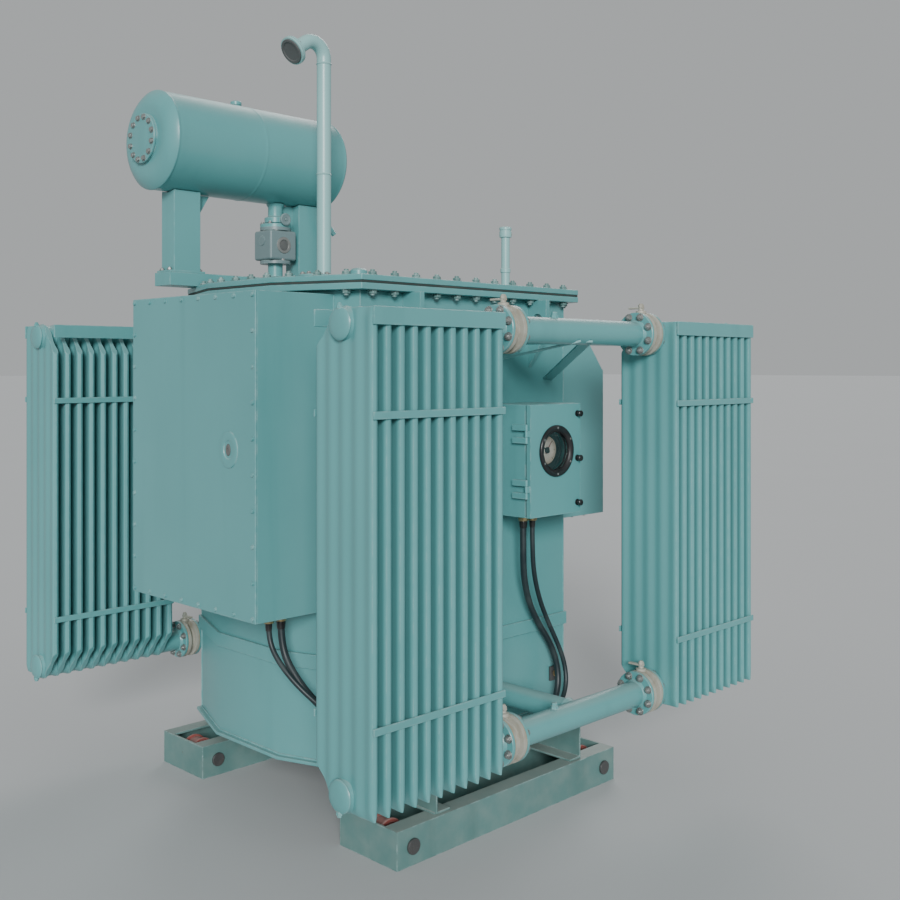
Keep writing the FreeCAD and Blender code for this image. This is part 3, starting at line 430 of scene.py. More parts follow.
# ---- shaping -------------------------------------------------------------------------
class Bench:
    """Modelling tools: primitives, edit-mode shaping and finishing."""

    @staticmethod
    def clear() -> None:
        """Leave edit mode and deselect everything."""
        if bpy.context.object and bpy.context.object.mode != "OBJECT":
            bpy.ops.object.mode_set(mode="OBJECT")
        bpy.ops.object.select_all(action="DESELECT")

    @staticmethod
    def pick(piece: Piece) -> None:
        """Select one object alone and make it active.

        Args:
            piece: The piece.
        """
        Bench.clear()
        piece.select_set(True)
        bpy.context.view_layer.objects.active = piece

    @staticmethod
    def settle(piece: Piece) -> Piece:
        """Apply an object's place, turn and scale to its mesh.

        Args:
            piece: The piece, whose place, turn and scale go into its mesh.

        Returns:
            The piece.
        """
        Bench.pick(piece)
        bpy.ops.object.transform_apply(location=True, rotation=True, scale=True)
        return piece

    @staticmethod
    def apply(piece: Piece, kind: str, **settings: object) -> Piece:
        """Add a modifier, set it and apply it.

        Args:
            piece: The object.
            kind: The modifier's type.
            **settings: Its properties.

        Returns:
            The object.
        """
        modifier = piece.modifiers.new(kind.lower(), kind)
        for key, value in settings.items():
            setattr(modifier, key, value)
        Bench.pick(piece)
        bpy.ops.object.modifier_apply(modifier=modifier.name)
        return piece

    @staticmethod
    def smooth(piece: Piece, degrees: float = 35) -> Piece:
        """Shade smooth, keeping edges sharper than an angle.

        Args:
            piece: The piece.
            degrees: Edges sharper than this stay sharp.

        Returns:
            The piece.
        """
        Bench.pick(piece)
        bpy.ops.object.shade_smooth_by_angle(angle=math.radians(degrees))
        return piece

    @staticmethod
    def block(name: str, low: Point, high: Point, edge: float = 0.002,
              segments: int = 2) -> Piece:
        """Rounded block between two corners.

        Args:
            name: The piece's name.
            low: Lowest corner.
            high: Highest corner.
            edge: Radius of its edges.
            segments: Steps round each edge.

        Returns:
            The piece.
        """
        Bench.clear()
        middle = [(a + b) / 2 for a, b in zip(low, high)]
        bpy.ops.mesh.primitive_cube_add(size=1, location=middle)
        piece = bpy.context.object
        piece.name = name
        piece.scale = [abs(b - a) for a, b in zip(low, high)]
        Bench.settle(piece)
        if edge > 0:
            Bench.apply(piece, "BEVEL", width=edge, segments=segments, limit_method="ANGLE")
        return Bench.smooth(piece)

    @staticmethod
    def lathe(name: str, origin: Point, axis: Point, profile: Profile,
              steps: int = 40) -> Piece:
        """Spin a profile about an axis.

        Args:
            name: The piece's name.
            origin: Where the axis starts.
            axis: The axis's direction.
            profile: (along the axis, radius) points, from one end to the other.
            steps: Facets round the axis.

        Returns:
            The piece.
        """
        piece = Bench.trace(name, [(radius, 0, along) for along, radius in profile])
        bpy.ops.mesh.select_all(action="SELECT")
        bpy.ops.mesh.spin(steps=steps, angle=FULL_TURN, center=(0, 0, 0), axis=UP)
        bpy.ops.mesh.select_all(action="SELECT")
        bpy.ops.mesh.remove_doubles(threshold=MERGE)
        bpy.ops.mesh.normals_make_consistent(inside=False)
        bpy.ops.object.mode_set(mode="OBJECT")
        piece.data.transform(Bench.aim(origin, axis))
        return Bench.smooth(piece)

    @staticmethod
    def trace(name: str, points: list[Point]) -> Piece:
        """Draw a line of edges by extruding one vertex, and stay in edit mode.

        Args:
            name: The piece's name.
            points: Where the line goes.

        Returns:
            The piece.
        """
        Bench.clear()
        bpy.ops.mesh.primitive_plane_add(size=0.01, location=(0, 0, 0))
        piece = bpy.context.object
        piece.name = name
        bpy.ops.object.mode_set(mode="EDIT")
        bpy.ops.mesh.select_all(action="SELECT")
        bpy.ops.mesh.merge(type="CENTER")
        bpy.ops.transform.translate(value=points[0])
        for before, after in zip(points, points[1:]):
            step = tuple(b - a for a, b in zip(before, after))
            bpy.ops.mesh.extrude_region_move(TRANSFORM_OT_translate={"value": step})
        return piece

    @staticmethod
    def prism(name: str, outline: list[Point], direction: Point, edge: float = 0.0) -> Piece:
        """Solid extruded from a closed outline.

        Args:
            name: The piece's name.
            outline: Its corners, in order.
            direction: How far and which way it is extruded.
            edge: Radius of its edges.

        Returns:
            The piece.
        """
        piece = Bench.trace(name, outline)
        bpy.ops.mesh.select_all(action="SELECT")
        bpy.ops.mesh.edge_face_add()
        bpy.ops.mesh.extrude_region_move(TRANSFORM_OT_translate={"value": direction})
        bpy.ops.mesh.select_all(action="SELECT")
        bpy.ops.mesh.normals_make_consistent(inside=False)
        bpy.ops.object.mode_set(mode="OBJECT")
        if edge > 0:
            Bench.apply(piece, "BEVEL", width=edge, segments=2, limit_method="ANGLE")
        return Bench.smooth(piece)

    @staticmethod
    def rounded(node: str, name: str, edge: float, segments: int = 2) -> Piece:
        """Copy of a CAD node with merged faces and rounded edges, standing for the node.

        Args:
            node: The CAD node.
            name: The piece's name.
            edge: Radius of its edges.
            segments: Steps round each edge.

        Returns:
            The piece.
        """
        Bench.clear()
        source = bpy.data.objects[node]
        piece = bpy.data.objects.new(name, source.data.copy())
        bpy.context.collection.objects.link(piece)
        piece.data.materials.clear()
        Bench.pick(piece)
        bpy.ops.object.mode_set(mode="EDIT")
        bpy.ops.mesh.select_all(action="SELECT")
        bpy.ops.mesh.remove_doubles(threshold=MERGE)
        bpy.ops.mesh.customdata_custom_splitnormals_clear()
        bpy.ops.mesh.dissolve_limited(angle_limit=math.radians(0.5))
        bpy.ops.object.mode_set(mode="OBJECT")
        Bench.apply(piece, "BEVEL", width=edge, segments=segments, limit_method="ANGLE",
                    angle_limit=math.radians(40), use_clamp_overlap=True)
        Bench.smooth(piece)
        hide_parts(node)
        return piece

    @staticmethod
    def sweep(name: str, route: list[Point], radius: float, kind: str = "POLY",
              sides: int = 6) -> Piece:
        """Round bar or pipe along a route, as a mesh.

        Args:
            name: The piece's name.
            route: Points of its line.
            radius: Its radius.
            kind: POLY for straight runs, NURBS for a smooth line.
            sides: How round its section is, from 0 for a square.

        Returns:
            The piece.
        """
        piece = Bench.line(name, route, radius, kind, sides)
        Bench.pick(piece)
        bpy.ops.object.convert(target="MESH")
        return Bench.smooth(bpy.context.object, 40)

    @staticmethod
    def line(name: str, route: list[Point], radius: float, kind: str = "NURBS",
             sides: int = 6) -> Piece:
        """Curve with a round section.

        Args:
            name: The piece's name.
            route: Points of its line.
            radius: Its radius.
            kind: POLY for straight runs, NURBS for a smooth line.
            sides: How round its section is, from 0 for a square.

        Returns:
            The curve.
        """
        curve = bpy.data.curves.new(name, "CURVE")
        curve.dimensions = "3D"
        curve.bevel_depth = radius
        curve.bevel_resolution = sides
        curve.resolution_u = 12
        curve.use_fill_caps = True
        spline = curve.splines.new(kind)
        spline.points.add(len(route) - 1)
        for target, source in zip(spline.points, route):
            target.co = (*source, 1)
        if kind == "NURBS":
            spline.order_u = 3
            spline.use_endpoint_u = True
        piece = bpy.data.objects.new(name, curve)
        bpy.context.collection.objects.link(piece)
        return piece

    @staticmethod
    def join(name: str, pieces: list[Piece]) -> Piece:
        """Join pieces into one mesh, keeping each one's finish.

        Args:
            name: The joined piece's name.
            pieces: What to join.

        Returns:
            The joined piece.
        """
        Bench.clear()
        for piece in pieces:
            piece.select_set(True)
        bpy.context.view_layer.objects.active = pieces[0]
        if len(pieces) > 1:
            bpy.ops.object.join()
        joined = bpy.context.object
        joined.name = name
        return joined

    @staticmethod
    def repeat(name: str, template: Piece, places: list[Matrix]) -> Piece:
        """Copy a template's mesh to many places in one piece, and remove the template.

        Args:
            name: The piece's name.
            template: What to copy.
            places: A matrix for each copy.

        Returns:
            The piece.
        """
        gathered = bmesh.new()
        for place in places:
            first = len(gathered.verts)
            gathered.from_mesh(template.data)
            gathered.verts.ensure_lookup_table()
            fresh = gathered.verts[first:]
            bmesh.ops.transform(gathered, matrix=place, verts=fresh)
            if place.to_3x3().determinant() < 0:
                faces = {face for vert in fresh for face in vert.link_faces}
                bmesh.ops.reverse_faces(gathered, faces=list(faces))
        mesh = bpy.data.meshes.new(name)
        gathered.to_mesh(mesh)
        gathered.free()
        for material in template.data.materials:
            mesh.materials.append(material)
        piece = bpy.data.objects.new(name, mesh)
        bpy.context.collection.objects.link(piece)
        bpy.data.objects.remove(template)
        return Bench.smooth(piece)

    @staticmethod
    def aim(place: Point, axis: Point) -> Matrix:
        """Matrix that stands a Z-up template at a place along an axis."""
        turn = Vector(UP).rotation_difference(Vector(axis)).to_matrix().to_4x4()
        return Matrix.Translation(Vector(place)) @ turn

    @staticmethod
    def ring(centre: Point, axis: Point, radius: float, count: int) -> list[Matrix]:
        """Places round a circle, each standing along the circle's axis.

        Args:
            centre: The circle's centre.
            axis: The circle's axis.
            radius: The circle's radius.
            count: How many places.

        Returns:
            A matrix for each place.
        """
        stand = Bench.aim(centre, axis)
        return [stand @ Matrix.Rotation(FULL_TURN * (index + 0.5) / count, 4, "Z")
                @ Matrix.Translation((radius, 0, 0)) for index in range(count)]


@dataclass
class Fastener:
    """Hex-headed bolts, washers and nuts, modelled once per size."""

    paint: Paintbox

    def hex(self, size: float, finish: Finish, stud: float = 0.0) -> Piece:
        """One bolt head on its washer, standing on Z = 0.

        Args:
            size: Thread diameter.
            finish: Its finish.
            stud: Length of thread that shows past the head.

        Returns:
            The template.
        """
        Bench.clear()
        across = size * 0.92
        bpy.ops.mesh.primitive_cylinder_add(vertices=6, radius=across, depth=size * 0.62,
                                            location=(0, 0, size * 0.46))
        head = bpy.context.object
        Bench.settle(head)
        Bench.apply(head, "BEVEL", width=size * 0.07, segments=1, limit_method="ANGLE")
        washer = Bench.lathe("washer", (0, 0, 0), UP,
                             [(0, 0), (0, size * 1.12), (size * 0.14, size * 1.12),
                              (size * 0.16, 0)], 16)
        parts = [head, washer]
        if stud:
            parts.append(Bench.lathe("stud", (0, 0, 0), UP,
                                     [(0, 0), (0, size * 0.5), (size * 0.77 + stud, size * 0.5),
                                      (size * 0.85 + stud, size * 0.38),
                                      (size * 0.85 + stud, 0)], 12))
        bolt = Bench.join("bolt", parts)
        self.paint.dress(bolt, finish)
        return bolt

    def row(self, name: str, size: float, places: list[Matrix], finish: Finish,
            stud: float = 0.0) -> Piece:
        """Bolts of one size at many places.

        Args:
            name: The piece's name.
            size: Thread diameter.
            places: A matrix for each bolt.
            finish: Their finish.
            stud: Length of thread that shows past each head.

        Returns:
            The bolts as one piece.
        """
        return Bench.repeat(name, self.hex(size, finish, stud), places)


# ---- sub-assemblies ------------------------------------------------------------------
@dataclass
class Assembly:
    """What every sub-assembly shares: its paint, its fasteners and how it hands over pieces."""

    paint: Paintbox
    fasteners: Fastener = field(init=False)

    def __post_init__(self) -> None:
        """Make the fasteners with the same paintbox."""
        self.fasteners = Fastener(self.paint)

    def hand_over(self, piece: Piece, slot: str = GREEN_SLOT, body: str = "transformer",
                  finish: Finish | None = None, replaces: tuple[str, ...] = ()) -> Piece:
        """Dress a piece, hang it on its body and report it.

        Args:
            piece: The finished piece.
            slot: The record's material slot, named only in the log line.
            body: The CAD body that it moves with.
            finish: Its finish, or none to keep those it has.
            replaces: CAD nodes that it stands for.

        Returns:
            The piece.
        """
        if finish:
            self.paint.dress(piece, finish)
        if piece.type == "MESH":
            Bench.apply(piece, "WEIGHTED_NORMAL", mode="FACE_AREA", weight=50, keep_sharp=True)
        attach(piece, body)
        if replaces:
            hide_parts(*replaces)
        LOG.info("%s on %s, slot %s", piece.name, body, slot)
        return piece

    def assemble(self, name: str, parts: list[Piece], *nodes: str, slot: str = GREEN_SLOT,
                 body: str = "transformer", finish: Finish | None = None) -> Piece:
        """Join parts into one piece and hand it over.

        Args:
            name: The piece's name.
            parts: What it is joined from.
            *nodes: CAD nodes that it stands for.
            slot: The record's material slot, named only in the log line.
            body: The CAD body that it moves with.
            finish: Its finish, or none to keep those of its parts.

        Returns:
            The piece.
        """
        return self.hand_over(Bench.join(name, parts), slot, body, finish, nodes)

    def rounded(self, node: str, edge: float, slot: str = GREEN_SLOT, finish: Finish = SEA_GREEN,
                body: str = "transformer") -> Piece:
        """Hand over a CAD node's rounded copy."""
        return self.hand_over(Bench.rounded(node, f"{node}_finished", edge), slot, body, finish)

    def coat(self, finish: Finish, *parts: Piece) -> list[Piece]:
        """Give parts one finish, and return them as a list."""
        for part in parts:
            self.paint.dress(part, finish)
        return list(parts)


@dataclass(frozen=True)
class Lamp:
    """Even soft light: the way to it, how wide it looks in degrees, and its strength."""

    name: str
    towards: Point
    spread: float
    power: float


KEY_LIGHT = Lamp("key_light", (-0.68, -0.76, 0.32), 18, 3.3)
BACK_LIGHT = Lamp("back_light", (0.75, 0.55, 0.62), 30, 0.7)


@dataclass
class Studio:
    """Camera, floor and soft lights."""

    stand: Point = (-2.943, -3.323, 1.6)
    heading: Point = (0.706, 0.708, 0.0)
    lens: float = 44.6
    drop: float = -0.092
    floor_span: float = 400
    sky_tone: Colour = (0.80, 0.83, 0.84)
    sky_strength: float = 0.54

    def build(self) -> None:
        """Make the camera, the floor, the sky and the lights."""
        self._camera()
        self._floor()
        self._sky()
        for lamp in (KEY_LIGHT, BACK_LIGHT):
            self._light(lamp)

    def _camera(self) -> None:
        """Place the camera level, with its frame lowered onto the object."""
        camera = bpy.data.objects.new("camera", bpy.data.cameras.new("camera"))
        bpy.context.collection.objects.link(camera)
        camera.location = self.stand
        camera.rotation_euler = Vector(self.heading).to_track_quat("-Z", "Y").to_euler()
        camera.data.lens = self.lens
        camera.data.shift_y = self.drop
        bpy.context.scene.camera = camera

    def _floor(self) -> None:
        """Wide pale floor."""
        Bench.clear()
        bpy.ops.mesh.primitive_plane_add(size=self.floor_span, location=(0, 0, 0))
        floor = bpy.context.object
        floor.name = "studio_floor"
        graph = Graph("studio_floor")
        tone = graph.blend(graph.noise(0.6, 3) * 0.5, (0.52, 0.53, 0.535), (0.49, 0.50, 0.505))
        floor.data.materials.append(graph.finish({"Base Color": tone, "Roughness": 0.85}))

    def _sky(self) -> None:
        """Even grey-white sky."""
        world = bpy.data.worlds.new("studio")
        bpy.context.scene.world = world
        world.use_nodes = True
        backdrop = world.node_tree.nodes["Background"]
        backdrop.inputs["Color"].default_value = (*self.sky_tone, 1)
        backdrop.inputs["Strength"].default_value = self.sky_strength

    @staticmethod
    def _light(lamp: Lamp) -> None:
        """Hang one lamp.

        Args:
            lamp: Where it stands and how it shines.
        """
        data = bpy.data.lights.new(lamp.name, "SUN")
        data.angle = math.radians(lamp.spread)
        data.energy = lamp.power
        light = bpy.data.objects.new(lamp.name, data)
        bpy.context.collection.objects.link(light)
        light.rotation_euler = Vector(lamp.towards).to_track_quat("Z", "Y").to_euler()


@dataclass(frozen=True)
class Cable:
    """One control cable: its CAD node, its radius, its length and its route."""

    node: str
    radius: float
    length: float
    route: tuple[Point, ...]


LARGE_CABLE = Cable("control_cable_large", 0.012, 2.279, (
    (0.165, -0.590, 1.027), (0.165, -0.590, 0.935), (0.190, -0.570, 0.815),
    (0.252, -0.545, 0.700), (0.330, -0.530, 0.605), (0.398, -0.524, 0.528),
    (0.432, -0.528, 0.452), (0.434, -0.538, 0.376), (0.397, -0.552, 0.313),
    (0.334, -0.562, 0.276), (0.250, -0.568, 0.262), (0.130, -0.568, 0.248),
    (-0.020, -0.562, 0.238), (-0.180, -0.554, 0.250), (-0.330, -0.545, 0.286),
    (-0.462, -0.532, 0.338), (-0.582, -0.500, 0.404), (-0.664, -0.430, 0.486),
    (-0.706, -0.356, 0.576), (-0.722, -0.300, 0.668), (-0.722, -0.300, 0.753)))
SMALL_CABLE = Cable("control_cable_small", 0.009, 2.290, (
    (0.205, -0.600, 1.027), (0.205, -0.600, 0.945), (0.228, -0.586, 0.835),
    (0.284, -0.566, 0.722), (0.350, -0.554, 0.622), (0.408, -0.550, 0.536),
    (0.445, -0.556, 0.456), (0.444, -0.570, 0.380), (0.402, -0.586, 0.320),
    (0.330, -0.598, 0.288), (0.236, -0.602, 0.270), (0.110, -0.600, 0.258),
    (-0.040, -0.593, 0.254), (-0.180, -0.584, 0.272), (-0.310, -0.574, 0.304),
    (-0.440, -0.566, 0.346), (-0.570, -0.546, 0.404), (-0.670, -0.492, 0.476),
    (-0.736, -0.416, 0.560), (-0.766, -0.346, 0.635), (-0.772, -0.300, 0.700),
    (-0.772, -0.300, 0.753)))


@dataclass
class Wiring(Assembly):
    """Control cables and the glands that they pass through."""

    gland_radius: float = 0.0175
    gland_length: float = 0.030

    def build(self) -> None:
        """Make the cables, then their glands."""
        glands = []
        for cable in (LARGE_CABLE, SMALL_CABLE):
            piece = Bench.line(f"{cable.node}_sheath", list(cable.route), cable.radius)
            piece.data.materials.append(self.paint.get(CABLE_SHEATH))
            self.hand_over(piece, "cable_black", replaces=(cable.node,))
            glands += [self._gland((x, y, z + self.gland_length), cable.radius)
                       for x, y, z in (cable.route[0], cable.route[-1])]
        self.assemble("cable_gland_set", glands, "cable_glands", slot="gland_steel")

    def _gland(self, place: Point, cable: float) -> Piece:
        """Hex-bodied gland with a domed nut and a tapered rubber sleeve, pointing down.

        Args:
            place: Where it leaves its box.
            cable: Radius of the cable in it.

        Returns:
            The gland.
        """
        size, length = self.gland_radius, self.gland_length
        body = Bench.lathe("gland_body", place, DOWN,
                           [(0.0, 0), (0.0, size * 1.15), (0.004, size * 1.15), (0.005, size),
                            (length * 0.55, size), (length * 0.6, size * 0.86),
                            (length * 0.85, size * 0.8), (length, cable * 1.12),
                            (length, cable * 0.98)], 6)
        nut = Bench.lathe("gland_nut", place, DOWN,
                          [(length * 0.42, size * 0.9), (length * 0.42, size * 1.06),
                           (length * 0.82, size * 1.0), (length * 0.9, size * 0.8)], 12)
        sleeve = Bench.lathe("gland_sleeve", place, DOWN,
                             [(length * 0.8, size * 0.78), (length * 1.0, cable * 1.30),
                              (length * 1.7, cable * 1.14), (length * 1.75, cable * 1.0)], 20)
        return Bench.join("gland", self.coat(BRASS, body, nut) + self.coat(BLACK_PLASTIC, sleeve))


@dataclass
class Radiators(Assembly):
    """Four banks of pressed panels on their headers."""

    count: int = 11
    thick: float = 0.024
    channels: int = 5
    waist: float = 0.0078
    pinch: float = 0.030
    chamfer: tuple[float, float] = (0.095, 0.115)
    steps: int = 60
    pipe: float = 0.0445

    def build(self) -> None:
        """Make every bank, header and brace."""
        for face in Face:
            for side in Side:
                self._bank(face, side)
                self._headers(face, side)
        self.rounded("radiator_braces", 0.0022)

    def _section(self, width: float) -> list[Point]:
        """Outline of a panel's section: full channels with pressed valleys between.

        Args:
            width: The panel's width.

        Returns:
            Points of the outline.
        """
        half, full = width / 2, self.thick / 2
        outline = []
        for index in range(self.steps + 1):
            y = -half + width * index / self.steps
            wave = 0.5 + 0.5 * math.cos(FULL_TURN * (y + half - full) * (self.channels - 1)
                                        / (width - self.thick))
            depth = self.waist + (full - self.waist) * wave
            edge = half - abs(y)
            if edge < full:
                depth = math.sqrt(max(full ** 2 - (full - edge) ** 2, 0.0))
            outline.append((depth, y, 0.0))
        back = [(-x, y, z) for x, y, z in reversed(outline[1:-1])]
        return outline + back

    def _panel(self, low: Vector, high: Vector) -> Piece:
        """One panel of a +X, +Y bank, its first face at the bank's start.

        Args:
            low: Lower corner of the box that the panel fills the width and height of.
            high: Its upper corner.

        Returns:
            The panel.
        """
        width = high.y - low.y
        panel = Bench.trace("panel", self._section(width))
        bpy.ops.mesh.select_all(action="SELECT")
        bpy.ops.mesh.edge_face_add()
        bpy.ops.transform.resize(value=(0.3, 1, 1))
        rises = ((self.pinch * 0.4, 2.4), (self.pinch * 0.6, 1 / 0.72),
                 (high.z - low.z - 2 * self.pinch, 1), (self.pinch * 0.6, 0.72),
                 (self.pinch * 0.4, 1 / 2.4))
        for rise, grow in rises:
            bpy.ops.mesh.extrude_region_move(TRANSFORM_OT_translate={"value": (0, 0, rise)})
            bpy.ops.transform.resize(value=(grow, 1, 1))
        run, drop = self.chamfer
        for level, way in ((0.0, -1), (high.z - low.z, 1)):
            bpy.ops.mesh.select_all(action="SELECT")
            bpy.ops.mesh.bisect(plane_co=(0, -width / 2, level - way * drop),
                                plane_no=(0, -drop, way * run), use_fill=True, clear_outer=True)
        bpy.ops.mesh.select_all(action="SELECT")
        bpy.ops.mesh.normals_make_consistent(inside=False)
        bpy.ops.object.mode_set(mode="OBJECT")
        Bench.apply(panel, "BEVEL", width=0.0025, segments=2, limit_method="ANGLE",
                    angle_limit=math.radians(50))
        return panel

    def _bank(self, face: Face, side: Side) -> None:
        """One bank of panels.

        Args:
            face: The face of the tank that the bank stands at.
            side: Its side of the middle.
        """
        node = f"{face.word}_{side.word}_radiator_fins"
        low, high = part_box(node)
        middle = (low.y + high.y) / 2
        panel = self._panel(low, high)
        span = high.x - low.x - self.thick
        start = (low.x if side is Side.RIGHT else high.x) + side.way * self.thick / 2
        places = [Matrix.Translation((start + side.way * span * index / (self.count - 1),
                                      middle, low.z)) @ Matrix.Diagonal((1, face.way, 1, 1))
                  for index in range(self.count)]
        bank = Bench.repeat(f"{node}_pressed", panel, places)
        self.hand_over(bank, finish=SEA_GREEN, replaces=(node,))

    def _headers(self, face: Face, side: Side) -> None:
        """Upper and lower header of a bank, with flange, weld beads, collars and cap.

        Args:
            face: The face of the tank.
            side: The side of the middle.
        """
        node = f"{face.word}_{side.word}_headers"
        fins_low, fins_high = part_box(f"{face.word}_{side.word}_radiator_fins")
        low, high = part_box(node)
        flange = (high.y - low.y) / 2
        pipe = self.pipe
        axis_y = (low.y + high.y) / 2
        start = low.x if side is Side.RIGHT else high.x
        length = high.x - low.x
        first = (fins_low.x - low.x) if side is Side.RIGHT else (high.x - fins_high.x)
        pitch = (fins_high.x - fins_low.x - self.thick) / (self.count - 1)
        profile = [(0.0, 0.03), (0.0, flange), (0.010, flange), (0.012, flange - 0.002),
                   (0.012, pipe + 0.007), (0.016, pipe + 0.004), (0.021, pipe)]
        for index in range(self.count):
            panel = first + index * pitch
            bead = 0.004 if index else 0.006
            profile += [(panel - bead, pipe), (panel + self.thick / 2, pipe + 0.006),
                        (panel + self.thick + bead, pipe)]
        profile += [(length - 0.014, pipe), (length - 0.011, pipe + 0.0025),
                    (length - 0.008, pipe), (length - 0.003, pipe * 0.86),
                    (length - 0.0008, pipe * 0.5), (length, 0)]
        pieces = [Bench.lathe("header", (start, axis_y, level), (side.way, 0, 0), profile, 36)
                  for level in (low.z + flange, high.z - flange)]
        for level, rise in ((low.z + flange, -1), (high.z - flange, 1)):
            pieces.append(Bench.lathe("plug", (start + side.way * (length - 0.011), axis_y,
                                               level + rise * (pipe - 0.004)), (0, 0, rise),
                                      [(0, 0), (0, 0.010), (0.010, 0.010), (0.010, 0.007),
                                       (0.016, 0.007), (0.017, 0)], 6))
        self.assemble(f"{node}_welded", pieces, node, finish=SEA_GREEN)


@dataclass
class Pipework(Assembly):
    """Valves, manifolds and struts between the radiators and the tank."""

    pipe: float = 0.0445
    bolts: int = 8
    bolt_size: float = 0.013
    valve_half: float = 0.028
    stub: float = 0.040
    stub_flange: float = 0.080

    def build(self) -> None:
        """Make the valves, the manifolds and the struts."""
        for face in Face:
            self._valves(face)
            self._manifolds(face)
        self.rounded("manifold_struts", 0.0015)

    def _valve(self, flange: float, half: float) -> Piece:
        """Butterfly valve about the origin, along X, its spindle up.

        Args:
            flange: Radius of its flanges.
            half: Half its length.

        Returns:
            The valve.
        """
        thick = 0.015
        body = Bench.lathe("valve_body", (-half, 0, 0), ALONG,
                           [(0.003, 0.03), (0.003, flange), (thick, flange),
                            (thick + 0.001, flange - 0.002), (thick + 0.003, 0.060),
                            (half, 0.0575), (2 * half - thick - 0.003, 0.060),
                            (2 * half - thick - 0.001, flange - 0.002),
                            (2 * half - thick, flange), (2 * half - 0.003, flange),
                            (2 * half - 0.003, 0.03)], 40)
        neck = Bench.lathe("valve_neck", (0, 0, 0.050), UP,
                           [(0, 0.017), (0.022, 0.016), (0.024, 0.019), (0.034, 0.019),
                            (0.036, 0.0095), (0.050, 0.0095), (0.051, 0.0)], 20)
        lever = Bench.block("valve_lever", (-0.008, -0.010, 0.092), (0.008, 0.052, 0.099), 0.002)
        cap = Bench.lathe("valve_cap", (0, 0, 0.099), UP,
                          [(0, 0), (0, 0.011), (0.006, 0.011), (0.008, 0.009), (0.0125, 0.006),
                           (0.013, 0)], 6)
        parts = self.coat(VALVE_GREY, body, neck, lever, cap)
        for at in (-half, half - 0.003):
            gasket = Bench.lathe("valve_gasket", (at, 0, 0), ALONG,
                                 [(0, 0.04), (0, flange - 0.0012), (0.003, flange - 0.0012),
                                  (0.003, 0.04)], 40)
            parts += self.coat(TAN_GASKET, gasket)
        places = []
        for at, way in ((-half - 0.012, -1), (half + 0.012, 1)):
            places += Bench.ring((at, 0, 0), (way, 0, 0), flange - 0.014, self.bolts)
        parts.append(self.fasteners.row("valve_bolts", self.bolt_size, places, BOLT_STEEL, 0.004))
        return Bench.join("valve", parts)

    def _valves(self, face: Face) -> None:
        """The four valves on one long side.

        Args:
            face: The face of the tank.
        """
        node = f"{face.word}_valves"
        low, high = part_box(node)
        flange = (high.y - low.y) / 2
        half = self.valve_half
        middle = (low.y + high.y) / 2
        levels = (low.z + flange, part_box(f"{face.word}_left_headers")[1].z - flange)
        spots = [(x, middle, z) for x in (low.x + half, high.x - half) for z in levels]
        places = [Matrix.Translation(spot) @ Matrix.Diagonal((1, -face.way, 1, 1))
                  for spot in spots]
        valves = Bench.repeat(f"{node}_assembled", self._valve(flange, half), places)
        self.hand_over(valves, "valve_grey", replaces=(node,))

    def _manifolds(self, face: Face) -> None:
        """The two T-pieces on one long side.

        Args:
            face: The face of the tank.
        """
        node = f"{face.word}_manifolds"
        low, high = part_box(node)
        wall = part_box("tank_wall")[1].y * face.way
        valve_low, valve_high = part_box(f"{face.word}_valves")
        axis_y, flange = (valve_low.y + valve_high.y) / 2, (valve_high.y - valve_low.y) / 2
        length, centre = high.x - low.x, (low.x + high.x) / 2
        stub, bead, foot = self.stub, 0.006, self.stub_flange
        end = [(0.0, 0.03), (0.0, flange), (0.0105, flange), (0.012, flange - 0.0015),
               (0.012, self.pipe + 0.007), (0.016, self.pipe + 0.004), (0.021, self.pipe)]
        profile = end + [(length - along, radius) for along, radius in reversed(end)]
        pieces = []
        for level in (low.z + foot, high.z - foot):
            pieces.append(Bench.lathe("branch", (low.x, axis_y, level), ALONG, profile, 40))
            reach = abs(axis_y - wall)
            pieces.append(Bench.lathe(
                "stub", (centre, wall, level), (0, face.way, 0),
                [(0.0, 0.03), (0.0, foot), (0.010, foot), (0.012, foot - 0.002),
                 (0.012, stub + bead), (0.016, stub + 0.003), (0.021, stub), (reach - 0.047, stub),
                 (reach - 0.043, stub + bead), (reach - 0.036, stub + bead * 0.5),
                 (reach - 0.010, stub * 0.95), (reach, 0.0)], 40))
            pieces.append(Bench.lathe(
                "branch_plug", (centre - 0.12, axis_y, level + self.pipe - 0.003), UP,
                [(0, 0), (0, 0.014), (0.012, 0.013), (0.012, 0.010), (0.022, 0.010),
                 (0.023, 0)], 6))
        self.assemble(f"{node}_welded", pieces, node, finish=SEA_GREEN)


